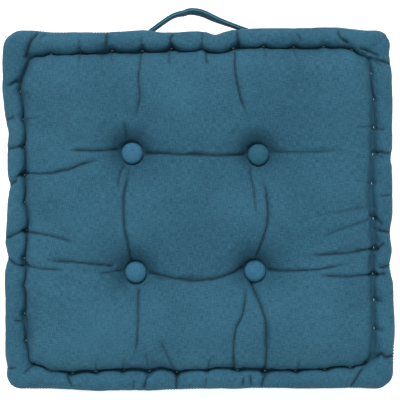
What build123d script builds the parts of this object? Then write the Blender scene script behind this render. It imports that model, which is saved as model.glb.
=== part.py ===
"""Tufted box floor cushion with rolled edges, eight covered buttons and a carrying handle.

Millimetres, +Z up. The origin is the centre of the face that rests on the floor, and the handle is
on the back, towards +Y. Left is -X.
"""

import math
import os

from build123d import *

# ---- Driving dimensions -------------------------------------------------------------------------
WIDTH = 400.0  # X, over the rolled edges
DEPTH = 370.0  # Y, over the rolled edges
EDGE_HEIGHT = 80.0  # floor to the top of the upper rolled edge
CROWN_HEIGHT = 90.0  # floor to the top of the stuffed crown
CORNER_RADIUS = 24.0  # plan corner of the rolled edge
FABRIC = 1.0  # cover cloth with its lining

ROLL_RADIUS = 11.0  # rolled edge, over the cloth
ROLL_STITCH_PITCH = 29.0
BAND_INSET = 8.0  # how far the side band lies inside the rolled edges
GROOVE_INSET = 21.5  # groove between the rolled edge and the crown
CROWN_CORNER = 6.0  # smallest plan corner of the crown
CROWN_FOOT = 3.0  # how far a crown's cloth reaches past the middle of the rolled edge
TOP_CROWN_ROUND = 19.0
BOTTOM_CROWN_ROUND = 8.0

# Covered buttons: plan positions, which the hand tufting leaves a little uneven.
BUTTON_SPOTS = {
    "back_left": (-68.7, 58.4),
    "back_right": (62.0, 57.0),
    "front_left": (-65.0, -64.6),
    "front_right": (58.4, -63.4),
}
BUTTON_RADIUS = 11.0
BUTTON_HEIGHT = 6.5
BUTTON_RIM = 2.2  # height of the widest part above the button's back
RIM_ROUND = 1.2
BUTTON_CLOTH = 0.6
BUTTON_SHELL = 0.5
BUTTON_MOUTH = 8.3  # radius of the opening behind the button
BACK_SINK = 0.1  # how far the back plate lies inside the mouth, in height and all round
BACK_STEP = 1.3  # height where the back plate widens behind the shell's lip
BACK_TOP = 1.9
BACK_LIP = 0.4
SEAT_GAP = 0.3  # running gap between a button and the cloth it sits on
TOP_SEAT_Z = 62.0
BOTTOM_SEAT_Z = 12.0
DIMPLE_WALL = 12.5  # radius of the dimple where the button sits
TOP_DIMPLE_ROUND = 22.0
BOTTOM_DIMPLE_ROUND = 10.0
TUFT_CHANNEL = 4.0  # radius of the way that the twine has pulled through the filling

EYE_RING = 2.6  # centreline radius of the wire eye and of the twine's loops
EYE_WIRE = 0.6  # wire radius
EYE_DROP = 1.6  # eye centre below the button's back
LOOP_DROP = 5.3  # twine loop centre below the button's back
TWINE_STRAND = 0.8
TWINE_KNOT = 2.0

ROLL_THREAD = 0.5  # radius of the thick hand-stitching thread
SEAM_THREAD = 0.4  # radius of the machine seam's thread line
STITCH_LENGTH = 5.0
STITCH_CLEAR = 0.05

# Handle: a folded strap sewn flat to the back of the side band at both ends.
STRAP_HEIGHT = 18.0
STRAP_THICKNESS = 3.0
STRAP_Z = 40.0
STRAP_SPLIT_GAP = 0.3  # between the sewn ends and the loop that swings
STRAP_REACH = 20.5  # how far the loop's centreline stands out past the rolled edge
STRAP_PEAK_X = -8.0
STRAP_BEND = 14.0  # radius of the strap's bends
STRAP_CLEAR = 0.05  # between the strap and the side band, and the stitches and the strap
SEWN_END_LENGTH = 24.0
STRAP_LEFT_FOOT = -60.0  # where the strap leaves the band
STRAP_RIGHT_FOOT = 76.0
BOX_STITCH = 11.0  # side of the stitched square on each sewn end
BOX_STITCH_PITCH = 4.0
BOX_STITCH_LENGTH = 2.6
BOX_THREAD = 0.35

# ---- Worked out from them -----------------------------------------------------------------------
TOP_ROLL_Z = EDGE_HEIGHT - ROLL_RADIUS
BOTTOM_ROLL_Z = ROLL_RADIUS
BACK_Y = DEPTH / 2
BAND_Y = BACK_Y - BAND_INSET
CORE_LOW = BOTTOM_ROLL_Z + ROLL_RADIUS - FABRIC + 0.5
CORE_HIGH = TOP_ROLL_Z - ROLL_RADIUS + FABRIC - 0.5
MIDDLE_Z = EDGE_HEIGHT / 2
SEAM_DEGREES = math.degrees(SEAM_THREAD / ROLL_RADIUS) + 0.3  # the seam's share of a rolled edge


def ring_path(inset, z):
    """The cushion's rounded-rectangle outline, moved in by inset, as a closed wire at height z."""
    with BuildSketch(Plane.XY.offset(z)) as outline:
        RectangleRounded(WIDTH - 2 * inset, DEPTH - 2 * inset, CORNER_RADIUS - inset)
    return outline.face().outer_wire()


def section_plane():
    """A vertical plane through the middle of the front edge: local x is the inset, local y is Z."""
    return Plane(origin=(0, -DEPTH / 2, 0), x_dir=(0, 1, 0), z_dir=(1, 0, 0))


def block(inset, low, high, edge_round, round_top):
    """A rounded-rectangle block whose upper or lower edge is rounded, as one closed solid."""
    corner = max(CORNER_RADIUS - inset, CROWN_CORNER)
    with BuildPart(mode=Mode.PRIVATE) as solid:
        with BuildSketch(Plane.XY.offset(low)):
            RectangleRounded(WIDTH - 2 * inset, DEPTH - 2 * inset, corner)
        extrude(amount=high - low)
        ends = solid.faces().sort_by(Axis.Z)
        fillet((ends[-1] if round_top else ends[0]).edges(), edge_round)
    return solid.part


def dimple(spot, seat_z, crown_z, lip_round, grow):
    """The trumpet-shaped hollow that a button pulls into the crown, grown outwards by grow."""
    up = 1 if crown_z > seat_z else -1
    lip_x = DIMPLE_WALL + lip_round
    lip_z = crown_z - up * lip_round
    lip = lip_round - grow
    x, y = spot
    with BuildPart(mode=Mode.PRIVATE) as solid:
        with BuildSketch(Plane((x, y, 0), x_dir=(1, 0, 0), z_dir=(0, -1, 0))):
            with BuildLine():
                Line((0, seat_z - up * grow), (lip_x - lip, seat_z - up * grow))
                Line((lip_x - lip, seat_z - up * grow), (lip_x - lip, lip_z))
                middle = (lip_x - lip / math.sqrt(2), lip_z + up * lip / math.sqrt(2))
                ThreePointArc((lip_x - lip, lip_z), middle, (lip_x, lip_z + up * lip))
                Line((lip_x, lip_z + up * lip), (lip_x, crown_z + up * 5))
                Line((lip_x, crown_z + up * 5), (0, crown_z + up * 5))
                Line((0, crown_z + up * 5), (0, seat_z - up * grow))
            make_face()
        revolve(axis=Axis((x, y, 0), (0, 0, 1)))
    return solid.part


def crown_block(top, grow, foot_z):
    """The crown beyond the rolled edges, from foot_z: grow is 0 over the cloth and FABRIC under it."""
    inset = GROOVE_INSET + grow
    if top:
        return block(inset, foot_z, CROWN_HEIGHT - grow, TOP_CROWN_ROUND - grow, round_top=True)
    return block(inset, grow, foot_z, BOTTOM_CROWN_ROUND - grow, round_top=False)


def dimples(top, grow):
    """All four dimples of one face."""
    for spot in BUTTON_SPOTS.values():
        if top:
            yield dimple(spot, TOP_SEAT_Z, CROWN_HEIGHT, TOP_DIMPLE_ROUND, grow)
        else:
            yield dimple(spot, BOTTOM_SEAT_Z, 0, BOTTOM_DIMPLE_ROUND, grow)


def tuft_channels():
    """The four straight ways through the cushion that the twines run in."""
    with BuildPart(mode=Mode.PRIVATE) as ways:
        with BuildSketch(Plane.XY.offset(-5)):
            with Locations(*BUTTON_SPOTS.values()):
                Circle(TUFT_CHANNEL)
        extrude(amount=CROWN_HEIGHT + 10)
    return ways.part


# ---- Filling ------------------------------------------------------------------------------------
def make_core():
    """The fibre filling of the body and both crowns, with a dimple at each button."""
    inset = BAND_INSET + FABRIC
    with BuildPart() as core:
        with BuildSketch(Plane.XY.offset(CORE_LOW)):
            RectangleRounded(WIDTH - 2 * inset, DEPTH - 2 * inset, CORNER_RADIUS - inset)
        extrude(amount=CORE_HIGH - CORE_LOW)
        for top in (True, False):
            add(crown_block(top, FABRIC, MIDDLE_Z))
            for hollow in dimples(top, FABRIC):
                add(hollow, mode=Mode.SUBTRACT)
        add(tuft_channels(), mode=Mode.SUBTRACT)
    return core.part


def make_roll_filling(z):
    """The fibre worked into one rolled edge."""
    with BuildPart() as roll:
        with BuildSketch(section_plane()):
            with Locations((ROLL_RADIUS, z)):
                Circle(ROLL_RADIUS - FABRIC)
        sweep(path=ring_path(ROLL_RADIUS, z))
    return roll.part


# ---- Cover --------------------------------------------------------------------------------------
def roll_skin(z, from_degrees, to_degrees):
    """The cloth round part of a rolled edge: 0 degrees points outwards and 90 up."""
    with BuildPart(mode=Mode.PRIVATE) as skin:
        with BuildSketch(section_plane()):
            with BuildLine():
                # The outward direction is local -x, so angles are mirrored about the vertical.
                start, size = 180 - to_degrees, to_degrees - from_degrees
                outer = CenterArc((ROLL_RADIUS, z), ROLL_RADIUS, start, size)
                inner = CenterArc((ROLL_RADIUS, z), ROLL_RADIUS - FABRIC, start, size)
                Line(outer @ 0, inner @ 0)
                Line(outer @ 1, inner @ 1)
            make_face()
        sweep(path=ring_path(ROLL_RADIUS, z))
    return skin.part


def make_panel(top):
    """The upper or lower panel: over the crown, down into the groove and over the rolled edge."""
    roll_z = TOP_ROLL_Z if top else BOTTOM_ROLL_Z
    foot_z = roll_z - CROWN_FOOT if top else roll_z + CROWN_FOOT
    with BuildPart() as panel:
        add(crown_block(top, 0, foot_z))
        for hollow in dimples(top, 0):
            add(hollow, mode=Mode.SUBTRACT)
        with BuildPart(mode=Mode.PRIVATE) as inside:
            add(crown_block(top, FABRIC, foot_z))
            for hollow in dimples(top, FABRIC):
                add(hollow, mode=Mode.SUBTRACT)
        add(inside.part, mode=Mode.SUBTRACT)
        add(tuft_channels(), mode=Mode.SUBTRACT)
        if top:
            add(roll_skin(roll_z, SEAM_DEGREES, 180))
        else:
            add(roll_skin(roll_z, -180, -SEAM_DEGREES))
    return panel.part


def make_side_band():
    """The strip of cloth round the side, from the upper panel's seam to the lower panel's."""
    side = BAND_INSET, BAND_INSET + FABRIC
    radius = ROLL_RADIUS, ROLL_RADIUS - FABRIC
    with BuildPart() as band:
        with BuildSketch(section_plane()):
            with BuildLine():
                ends = []
                for wall, r in zip(side, radius):
                    # The roll's arc meets the flat of the band where it is wall inside the edge.
                    reach = math.degrees(math.acos((ROLL_RADIUS - wall) / r))
                    size = reach - SEAM_DEGREES
                    upper = CenterArc((ROLL_RADIUS, TOP_ROLL_Z), r, 180 + SEAM_DEGREES, size)
                    lower = CenterArc((ROLL_RADIUS, BOTTOM_ROLL_Z), r, 180 - SEAM_DEGREES, -size)
                    Line(upper @ 1, lower @ 1)
                    ends.append((upper @ 0, lower @ 0))
                Line(ends[0][0], ends[1][0])
                Line(ends[0][1], ends[1][1])
            make_face()
        sweep(path=ring_path(ROLL_RADIUS, TOP_ROLL_Z))
    return band.part


def make_seam_thread(z):
    """The line of sewing thread that joins a panel to the side band."""
    inset = SEAM_THREAD
    with BuildPart() as thread:
        with BuildSketch(section_plane()):
            with Locations((inset, z)):
                Circle(SEAM_THREAD)
        sweep(path=ring_path(inset, z))
    return thread.part


def stitch_spots(inset):
    """Evenly pitched places along the four straight sides: (x, y, angle of the side)."""
    half_x, half_y = WIDTH / 2 - inset, DEPTH / 2 - inset
    for length, side_offset, turn in (
        (WIDTH, half_y, 0),
        (DEPTH, half_x, 90),
        (WIDTH, half_y, 180),
        (DEPTH, half_x, 270),
    ):
        count = int((length - 2 * CORNER_RADIUS - STITCH_LENGTH) // ROLL_STITCH_PITCH)
        for index in range(count + 1):
            along = (index - count / 2) * ROLL_STITCH_PITCH
            angle = math.radians(turn)
            x = along * math.cos(angle) + side_offset * math.sin(angle)
            y = along * math.sin(angle) - side_offset * math.cos(angle)
            yield x, y, turn


def make_roll_stitches(top):
    """The thick stitches that draw in one rolled edge, in the crown groove and the side groove."""
    reach = ROLL_RADIUS + ROLL_THREAD + STITCH_CLEAR
    crown_inset = GROOVE_INSET - ROLL_THREAD - STITCH_CLEAR
    side_inset = BAND_INSET - ROLL_THREAD - STITCH_CLEAR
    up = 1 if top else -1
    roll_z = TOP_ROLL_Z if top else BOTTOM_ROLL_Z
    crown_rise = math.sqrt(reach**2 - (crown_inset - ROLL_RADIUS) ** 2)
    side_drop = math.sqrt(reach**2 - (ROLL_RADIUS - side_inset) ** 2)
    grooves = (crown_inset, roll_z + up * crown_rise), (side_inset, roll_z - up * side_drop)
    places = [
        Location((x, y, z), (0, 90, 0) if turn % 180 == 0 else (90, 0, 0))
        for inset, z in grooves
        for x, y, turn in stitch_spots(inset)
    ]
    with BuildPart() as stitches:
        with Locations(*places):
            Cylinder(ROLL_THREAD, STITCH_LENGTH)
    return stitches.part


# ---- Buttons and tufting ------------------------------------------------------------------------
def button_plane(spot, back_z, up):
    """A vertical plane through a button's axis: local y is 0 at its back and grows outwards."""
    return Plane((*spot, back_z), x_dir=(up, 0, 0), z_dir=(0, -1, 0))


def button_side(inset):
    """One side of the button's form from its back's edge to its top, moved in by inset."""
    wide, rim, top = BUTTON_RADIUS - inset, BUTTON_RIM, BUTTON_HEIGHT - inset
    edge = (wide - RIM_ROUND, inset)
    rim_middle = (wide - 0.3 * RIM_ROUND, inset + 0.3 * (rim - inset))
    # The dome is part of a sphere centred on the button's axis.
    sphere = (wide**2 + (top - rim) ** 2) / (2 * (top - rim))
    dome_middle = (wide / 2, top - sphere + math.sqrt(sphere**2 - (wide / 2) ** 2))
    return edge, rim_middle, (wide, rim), dome_middle, (0, top)


def make_button_layer(plane, outer, inner):
    """The cloth or the metal shell of a button: the layer between two insets, open at the back."""
    with BuildPart() as layer:
        with BuildSketch(plane):
            with BuildLine():
                for inset in (outer, inner):
                    edge, rim_middle, rim, dome_middle, top = button_side(inset)
                    Line((BUTTON_MOUTH, inset), edge)
                    ThreePointArc(edge, rim_middle, rim)
                    ThreePointArc(rim, dome_middle, top)
                Line((0, BUTTON_HEIGHT - outer), (0, BUTTON_HEIGHT - inner))
                Line((BUTTON_MOUTH, outer), (BUTTON_MOUTH, inner))
            make_face()
        revolve(axis=Axis(plane.origin, (0, 0, 1)))
    return layer.part


def ring(plane, drop, tube, x_way):
    """A wire ring on the button's axis, drop below its back, lying in a vertical plane."""
    centre = plane.origin - plane.y_dir * drop
    across = (1, 0, 0) if x_way else (0, 1, 0)
    facing = (0, -1, 0) if x_way else (1, 0, 0)
    with BuildPart(mode=Mode.PRIVATE) as solid:
        with BuildSketch(Plane(centre, x_dir=across, z_dir=facing)):
            with Locations((EYE_RING, 0)):
                Circle(tube)
        revolve(axis=Axis(centre, (0, 0, 1)))
    # The revolve above makes the ring lie flat, so it is stood up about its own centre.
    return solid.part.rotate(Axis(centre, across), 90)


def make_button_back(plane):
    """The plate that closes a button, slotted for the wire eye."""
    inner = BUTTON_MOUTH - BACK_SINK
    outer = BUTTON_MOUTH + BACK_LIP
    with BuildPart() as back:
        with BuildSketch(plane):
            with BuildLine():
                Polyline(
                    (0, BACK_SINK),
                    (inner, BACK_SINK),
                    (inner, BACK_STEP),
                    (outer, BACK_STEP),
                    (outer, BACK_TOP),
                    (0, BACK_TOP),
                    close=True,
                )
            make_face()
        revolve(axis=Axis(plane.origin, (0, 0, 1)))
        add(ring(plane, EYE_DROP, EYE_WIRE + STITCH_CLEAR, True), mode=Mode.SUBTRACT)
    return back.part


def make_button(spot, top):
    """The four pieces of one covered button, by name."""
    up = 1 if top else -1
    back_z = TOP_SEAT_Z + SEAT_GAP if top else BOTTOM_SEAT_Z - SEAT_GAP
    plane = button_plane(spot, back_z, up)
    return {
        "cover": make_button_layer(plane, 0, BUTTON_CLOTH),
        "shell": make_button_layer(plane, BUTTON_CLOTH, BUTTON_CLOTH + BUTTON_SHELL),
        "back": make_button_back(plane),
        "eye": ring(plane, EYE_DROP, EYE_WIRE, True),
    }


def make_twine(spot):
    """The twine that ties an upper button to the lower one, with a loop at each end and a knot."""
    upper = button_plane(spot, TOP_SEAT_Z + SEAT_GAP, 1)
    lower = button_plane(spot, BOTTOM_SEAT_Z - SEAT_GAP, -1)
    bottom_loop = lower.origin.Z + LOOP_DROP
    top_loop = upper.origin.Z - LOOP_DROP
    strand_low = bottom_loop + EYE_RING
    with BuildPart() as twine:
        with BuildSketch(Plane((*spot, strand_low))):
            Circle(TWINE_STRAND)
        extrude(amount=top_loop - EYE_RING - strand_low)
        add(ring(upper, LOOP_DROP, EYE_WIRE, False))
        add(ring(lower, LOOP_DROP, EYE_WIRE, False))
        with Locations((*spot, strand_low + 2 * TWINE_KNOT)):
            Sphere(TWINE_KNOT)
    return twine.part


# ---- Handle -------------------------------------------------------------------------------------
def strap_route():
    """The strap's centreline in plan: a sewn end, the loop that stands out, the other sewn end."""
    lie_y = BAND_Y + STRAP_THICKNESS / 2 + STRAP_CLEAR
    top_y = BACK_Y + STRAP_REACH
    return (
        (STRAP_LEFT_FOOT - SEWN_END_LENGTH, lie_y),
        (STRAP_LEFT_FOOT, lie_y),
        (STRAP_PEAK_X - 24, top_y - 1.5),
        (STRAP_PEAK_X + 10, top_y),
        (STRAP_RIGHT_FOOT - 30, BACK_Y + 5),
        (STRAP_RIGHT_FOOT, lie_y),
        (STRAP_RIGHT_FOOT + SEWN_END_LENGTH, lie_y),
    )


def strap():
    """The whole strap, before it is divided where the loop hinges."""
    with BuildPart(mode=Mode.PRIVATE) as whole:
        with BuildSketch(Plane.XY.offset(STRAP_Z - STRAP_HEIGHT / 2)):
            with BuildLine() as centre:
                FilletPolyline(*strap_route(), radius=STRAP_BEND)
            trace(centre.wire(), STRAP_THICKNESS)
        extrude(amount=STRAP_HEIGHT)
    return whole.part


def strap_crossings():
    """X of the two places where the strap's centreline crosses the rolled edge's outer line."""
    with BuildLine(mode=Mode.PRIVATE) as centre:
        FilletPolyline(*strap_route(), radius=STRAP_BEND)
    wire = centre.wire()
    samples = [wire @ (index / 2000) for index in range(2001)]
    return [
        (a.X + b.X) / 2 for a, b in zip(samples, samples[1:]) if (a.Y - BACK_Y) * (b.Y - BACK_Y) < 0
    ]


def strap_between(low_x, high_x):
    """The part of the strap between two X values."""
    with BuildPart() as piece:
        add(strap())
        with BuildSketch(Plane.XY.offset(STRAP_Z - STRAP_HEIGHT)):
            with Locations(((low_x + high_x) / 2, BACK_Y)):
                Rectangle(high_x - low_x, 80)
        extrude(amount=2 * STRAP_HEIGHT, mode=Mode.INTERSECT)
    return piece.part


def make_handle_stitches():
    """A square of stitches on each sewn end of the strap."""
    thread_y = BAND_Y + STRAP_THICKNESS + 2 * STRAP_CLEAR + BOX_THREAD
    places = []
    for foot_x, out in ((STRAP_LEFT_FOOT, -1), (STRAP_RIGHT_FOOT, 1)):
        middle_x = foot_x + out * (SEWN_END_LENGTH / 2 + 1)
        for index in range(-1, 2):
            for side in (-BOX_STITCH / 2, BOX_STITCH / 2):
                along = index * BOX_STITCH_PITCH
                level = (middle_x + along, thread_y, STRAP_Z + side)
                upright = (middle_x + side, thread_y, STRAP_Z + along)
                places += [Location(level, (0, 90, 0)), Location(upright)]
    with BuildPart() as stitches:
        with Locations(*places):
            Cylinder(BOX_THREAD, BOX_STITCH_LENGTH)
    return stitches.part


# ---- Everything, one file for each piece --------------------------------------------------------
def make_all():
    """Every piece of the cushion, by node name."""
    left_x, right_x = strap_crossings()
    gap = STRAP_SPLIT_GAP / 2
    pieces = {
        "filling_core": make_core(),
        "filling_top_roll": make_roll_filling(TOP_ROLL_Z),
        "filling_bottom_roll": make_roll_filling(BOTTOM_ROLL_Z),
        "top_panel": make_panel(top=True),
        "bottom_panel": make_panel(top=False),
        "side_band": make_side_band(),
        "top_seam_thread": make_seam_thread(TOP_ROLL_Z),
        "bottom_seam_thread": make_seam_thread(BOTTOM_ROLL_Z),
        "top_roll_stitches": make_roll_stitches(top=True),
        "bottom_roll_stitches": make_roll_stitches(top=False),
        "handle_loop": strap_between(left_x + gap, right_x - gap),
        "handle_end_left": strap_between(-WIDTH / 2, left_x - gap),
        "handle_end_right": strap_between(right_x + gap, WIDTH / 2),
        "handle_stitches": make_handle_stitches(),
    }
    for where, spot in BUTTON_SPOTS.items():
        pieces[f"tuft_twine_{where}"] = make_twine(spot)
        for side, top in (("top", True), ("bottom", False)):
            for piece, solid in make_button(spot, top).items():
                pieces[f"{side}_button_{where}_{piece}"] = solid
    return pieces


os.makedirs("parts", exist_ok=True)
for name, part in make_all().items():
    part.label = name
    export_step(part, f"parts/{name}.step")
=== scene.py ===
"""The finished look of the tufted floor cushion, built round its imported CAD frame.

Lengths are in millimetres until a mesh is made, and +Y is the back, where the handle is.
"""

import math

import bmesh
import bpy
import numpy as np
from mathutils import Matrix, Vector
from mathutils.bvhtree import BVHTree


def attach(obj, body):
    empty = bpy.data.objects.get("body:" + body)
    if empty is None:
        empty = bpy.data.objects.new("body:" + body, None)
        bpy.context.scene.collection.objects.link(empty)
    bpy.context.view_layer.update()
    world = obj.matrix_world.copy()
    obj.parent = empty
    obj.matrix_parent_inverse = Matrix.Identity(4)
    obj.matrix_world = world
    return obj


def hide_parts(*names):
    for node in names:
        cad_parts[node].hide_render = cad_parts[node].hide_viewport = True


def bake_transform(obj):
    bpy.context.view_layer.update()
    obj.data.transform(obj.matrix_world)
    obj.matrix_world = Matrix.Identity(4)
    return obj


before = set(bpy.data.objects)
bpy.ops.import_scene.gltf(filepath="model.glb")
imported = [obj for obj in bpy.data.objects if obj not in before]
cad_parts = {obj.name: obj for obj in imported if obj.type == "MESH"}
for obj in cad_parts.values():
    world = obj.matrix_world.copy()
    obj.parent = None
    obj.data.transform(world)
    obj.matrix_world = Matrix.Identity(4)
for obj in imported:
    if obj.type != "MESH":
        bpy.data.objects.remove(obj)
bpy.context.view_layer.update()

MM = 0.001

# ---- Size and make-up, as in the CAD ---------------------------------------------------------------
HALF_X = 200.0
HALF_Y = 185.0
ROLL_RADIUS = 11.0
TOP_ROLL_Z = 69.0
BOTTOM_ROLL_Z = 11.0
GROOVE_INSET = 21.5
BAND_INSET = 8.0

BUTTONS = {
    "back_left": (-68.7, 58.4),
    "back_right": (62.0, 57.0),
    "front_left": (-65.0, -64.6),
    "front_right": (58.4, -63.4),
}
TOP_BUTTON_Z = 62.3  # underside of an upper button
BOTTOM_BUTTON_Z = 11.7  # upper side of a lower button
BUTTON_RADIUS = 11.0
BUTTON_HEIGHT = 6.5
BUTTON_CLOTH = 0.6
BUTTON_MOUTH = 8.3

# ---- Shape of the cloth, which the CAD's plain solids don't have -------------------------------------
OUTER_CORNER = 18.0  # tighter than the CAD's 24
GROOVE_CORNER = 9.0
ROLL_DEGREES = 166.0  # how far a panel's cloth goes round the roll, from the seam to the groove
SEAM_DITCH = 0.8  # how far the seam lies in from the roll's widest line
SCALLOP = 2.4  # how far the roll bulges over the groove between stitches
GROOVE_SINK = 3.0  # how much deeper the groove is than the roll's round
STITCH_SINK = 2.0  # how much deeper again at a stitch
CROWN_RISE = 15.5  # groove to the flat of the crown
CROWN_DOME = 3.0  # extra height in the middle
CROWN_EDGE = 6.5  # how fast the crown rises from the groove
TOP_SEAT_Z = 61.9  # the seats lie 0.1 further from the buttons than the CAD's
BOTTOM_SEAT_Z = 12.1
SEAT_RADIUS = 11.4
DIMPLE_REACH = 13.0  # how fast a dimple flattens out
FILLING_DEPTH = 6.5  # filling's surface under the cloth before stuffing
FLOOR_CLEAR = 0.4  # the underside's cloth above z = 0
LOWER_OUTLINE = 0.6  # how much of the upper outline's unevenness the underside has
LOWER_GROOVE = 0.4  # the same for the groove's line
HELD_PULL = 0.75  # stitch pull above which the cloth is held while it is stuffed
SHALLOW_GROOVE = 0.7  # groove depth below which the whole groove is held

# ---- Mesh of the cover -----------------------------------------------------------------------------
ROLL_RINGS = 12  # rings of faces from the seam to the groove
HALF_COLUMNS = 66  # faces from the groove to the middle, along X
HALF_ROWS = 61  # the same along Y
COLUMNS = 2 * (HALF_COLUMNS + ROLL_RINGS)
ROWS = 2 * (HALF_ROWS + ROLL_RINGS)
BAND_ARC_ROWS = 5  # rows of faces from a seam, under the roll, to the flat of the side band
BAND_FLAT_ROWS = 12
FAR_AWAY = 1e4  # where points go that a fold must not reach

SIDES = ("front", "right", "back", "left")

# How far the outline stands out from the plain rounded rectangle, by place along each side.
OUTLINE = {
    "front": ((-195, 0), (-150, 0), (-100, 1.8), (-50, 1.6), (0, 0.2), (60, -0.6), (150, -0.8),
              (195, 0)),
    "right": ((-190, 0), (-130, 2.4), (-75, 0.5), (-57, -2.8), (-42, -0.5), (-24, -2.4), (-5, -0.4),
              (45, -0.4), (52, -2.0), (60, -0.4), (140, -0.4), (160, -3.2), (190, 0)),
    "back": ((-195, 0), (-170, 0.3), (-150, -1.6), (-95, -1.6), (-57, 0.4), (-36, -2.0), (-4, -1.0),
             (8, -1.6), (17, -5.4), (25, -2.0), (36, 0.6), (60, 1.5), (105, 2.5), (145, 3.0),
             (172, 0.4), (195, 0)),
    "left": ((-190, 0), (-161, -2.4), (-150, -0.5), (-62, -0.6), (-48, -3.8), (-34, -0.5), (0, -3.0),
             (18, -4.0), (25, -6.0), (32, -3.6), (66, -3.0), (78, -4.8), (90, -1.6), (122, 2.2),
             (155, 2.4), (190, 0)),
}

# How far the groove lies in from the outline, by place along each side.
GROOVE = {
    "front": ((-190, 26), (-163, 24), (-146, 18.5), (-130, 17), (-75, 20.5), (-50, 19), (-38, 21.5),
              (-22, 18), (17, 21.5), (80, 19), (120, 20), (145, 22.8), (163, 23.6), (178, 27), (190, 27)),
    "right": ((-175, 27), (-163, 26.5), (-150, 20.8), (-134, 19.6), (-93, 19.5), (-57, 21.3),
              (-31, 18.8), (20, 22.2), (85, 19.6), (114, 20), (150, 24), (175, 27)),
    "back": ((-190, 26.5), (-175, 26.5), (-153, 25.3), (-122, 24.4), (-104, 22.4), (-89, 21.6), (-58, 22),
             (-35, 20.5), (-27, 19), (-15, 21.5), (0, 20.5), (22, 23), (34, 20), (41, 17), (74, 17.7),
             (125, 18), (150, 17), (159, 21.6), (169, 25.5), (190, 27)),
    "left": ((-175, 26), (-163, 26), (-120, 21.5), (-42, 21), (-16, 24), (10, 21), (82, 21),
             (118, 17.5), (131, 15.7), (144, 21), (156, 25.5), (175, 26.5)),
}

# How deep the groove is on each side, which also sets how dark its painted shade is, and the half-length
# of the thread that shows in it.
GROOVE_DEPTH = {"front": 0.8, "right": 0.5, "back": 0.95, "left": 0.9}
THREAD_REACH = {"front": 1.9, "right": 1.4, "back": 1.8, "left": 0.9}

# Hand stitches that draw in the rolled edge, by place along each side.
STITCHES = {
    "front": (-153, -130, -106, -77, -51, -22, 9, 40, 69, 100, 130, 156),
    "right": (-122, -93, -66, -39, -9, 27, 57, 85, 114, 140),
    "back": (-152, -122, -89, -58, -28, 4, 36, 67, 98, 129, 158),
    "left": (-135, -107, -78, -50, -21, 8, 36, 65, 93, 122),
}


# ---- Small tools -----------------------------------------------------------------------------------
def smooth_table(pairs, at, blur=3.5):
    """Values read off a few (place, value) pairs, with the corners between them rounded."""
    places, values = np.array(pairs, float).T
    fine = np.arange(-215.0, 216.0)
    line = np.interp(fine, places, values)
    reach = np.arange(-12.0, 13.0)
    weights = np.exp(-((reach / blur) ** 2))
    padded = np.pad(line, 12, mode="edge")
    return np.interp(at, fine, np.convolve(padded, weights / weights.sum(), mode="valid"))


def ripples(points, wavelength, count, random):
    """Smooth random height between about -1 and 1, as a sum of waves in random directions."""
    total = np.zeros(len(points))
    for _ in range(count):
        direction = random.normal(size=points.shape[1])
        direction /= np.linalg.norm(direction)
        length = wavelength * random.uniform(0.7, 1.5)
        total += np.sin(points @ direction * (2 * math.pi / length) + random.uniform(0, 2 * math.pi))
    return total / math.sqrt(count)


def ease(share):
    """0 to 1 with a smooth start and end."""
    share = np.clip(share, 0, 1)
    return share * share * (3 - 2 * share)


def through(points, step=1.5):
    """A smooth line through a few points, sampled about every step mm."""
    p = np.array(points, float)
    if len(p) == 2:
        p = np.array([p[0], (p[0] + p[1]) / 2, p[1]])
    ends = np.vstack([2 * p[0] - p[1], p, 2 * p[-1] - p[-2]])
    out = []
    for a, b, c, d in zip(ends, ends[1:], ends[2:], ends[3:]):
        count = max(2, int(np.linalg.norm(c - b) / step))
        for s in np.linspace(0, 1, count, endpoint=False):
            out.append(
                0.5 * (2 * b + (c - a) * s + (2 * a - 5 * b + 4 * c - d) * s**2
                       + (3 * b - a - 3 * c + d) * s**3)
            )
    out.append(ends[-2])
    return np.array(out)


def add_object(name, data):
    """A new object in the scene."""
    obj = bpy.data.objects.new(name, data)
    bpy.context.scene.collection.objects.link(obj)
    return obj


def new_object(name, points, faces):
    """A smooth-shaded mesh object from points in mm."""
    mesh = bpy.data.meshes.new(name)
    mesh.from_pydata((np.asarray(points) * MM).tolist(), [], [list(map(int, f)) for f in faces])
    mesh.validate()
    mesh.polygons.foreach_set("use_smooth", [True] * len(mesh.polygons))
    mesh.update()
    return add_object(name, mesh)


def mesh_points(mesh):
    """The mesh's points in mm."""
    co = np.empty(len(mesh.vertices) * 3, np.float32)
    mesh.vertices.foreach_get("co", co)
    return co.reshape(-1, 3).astype(float) / MM


def mesh_normals(mesh):
    """The mesh's point normals."""
    n = np.empty(len(mesh.vertices) * 3, np.float32)
    mesh.vertex_normals.foreach_get("vector", n)
    return n.reshape(-1, 3).astype(float)


def set_points(obj, points):
    """Move the object's points to these, in mm."""
    obj.data.vertices.foreach_set("co", (points * MM).astype(np.float32).ravel())
    obj.data.update()


def bake_modifiers(obj):
    """Replace the object's mesh by its modified one and drop the modifiers."""
    graph = bpy.context.evaluated_depsgraph_get()
    mesh = bpy.data.meshes.new_from_object(obj.evaluated_get(graph))
    obj.modifiers.clear()
    obj.data = mesh
    mesh.name = obj.name


def crease_line(obj, on_line, sharpness=0.8):
    """Keep the edges between the marked points sharp through the subdivision."""
    mesh = obj.data
    ends = np.empty(len(mesh.edges) * 2, np.int32)
    mesh.edges.foreach_get("vertices", ends)
    both = on_line[ends.reshape(-1, 2)].all(axis=1)
    crease = mesh.attributes.new("crease_edge", "FLOAT", "EDGE")
    crease.data.foreach_set("value", (sharpness * both).astype(np.float32))


def subdivide(obj):
    """One Catmull-Clark subdivision with a smooth border, applied."""
    modifier = obj.modifiers.new("finer", "SUBSURF")
    modifier.levels = 1
    modifier.render_levels = 1
    modifier.boundary_smooth = "ALL"
    bake_modifiers(obj)


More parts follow.
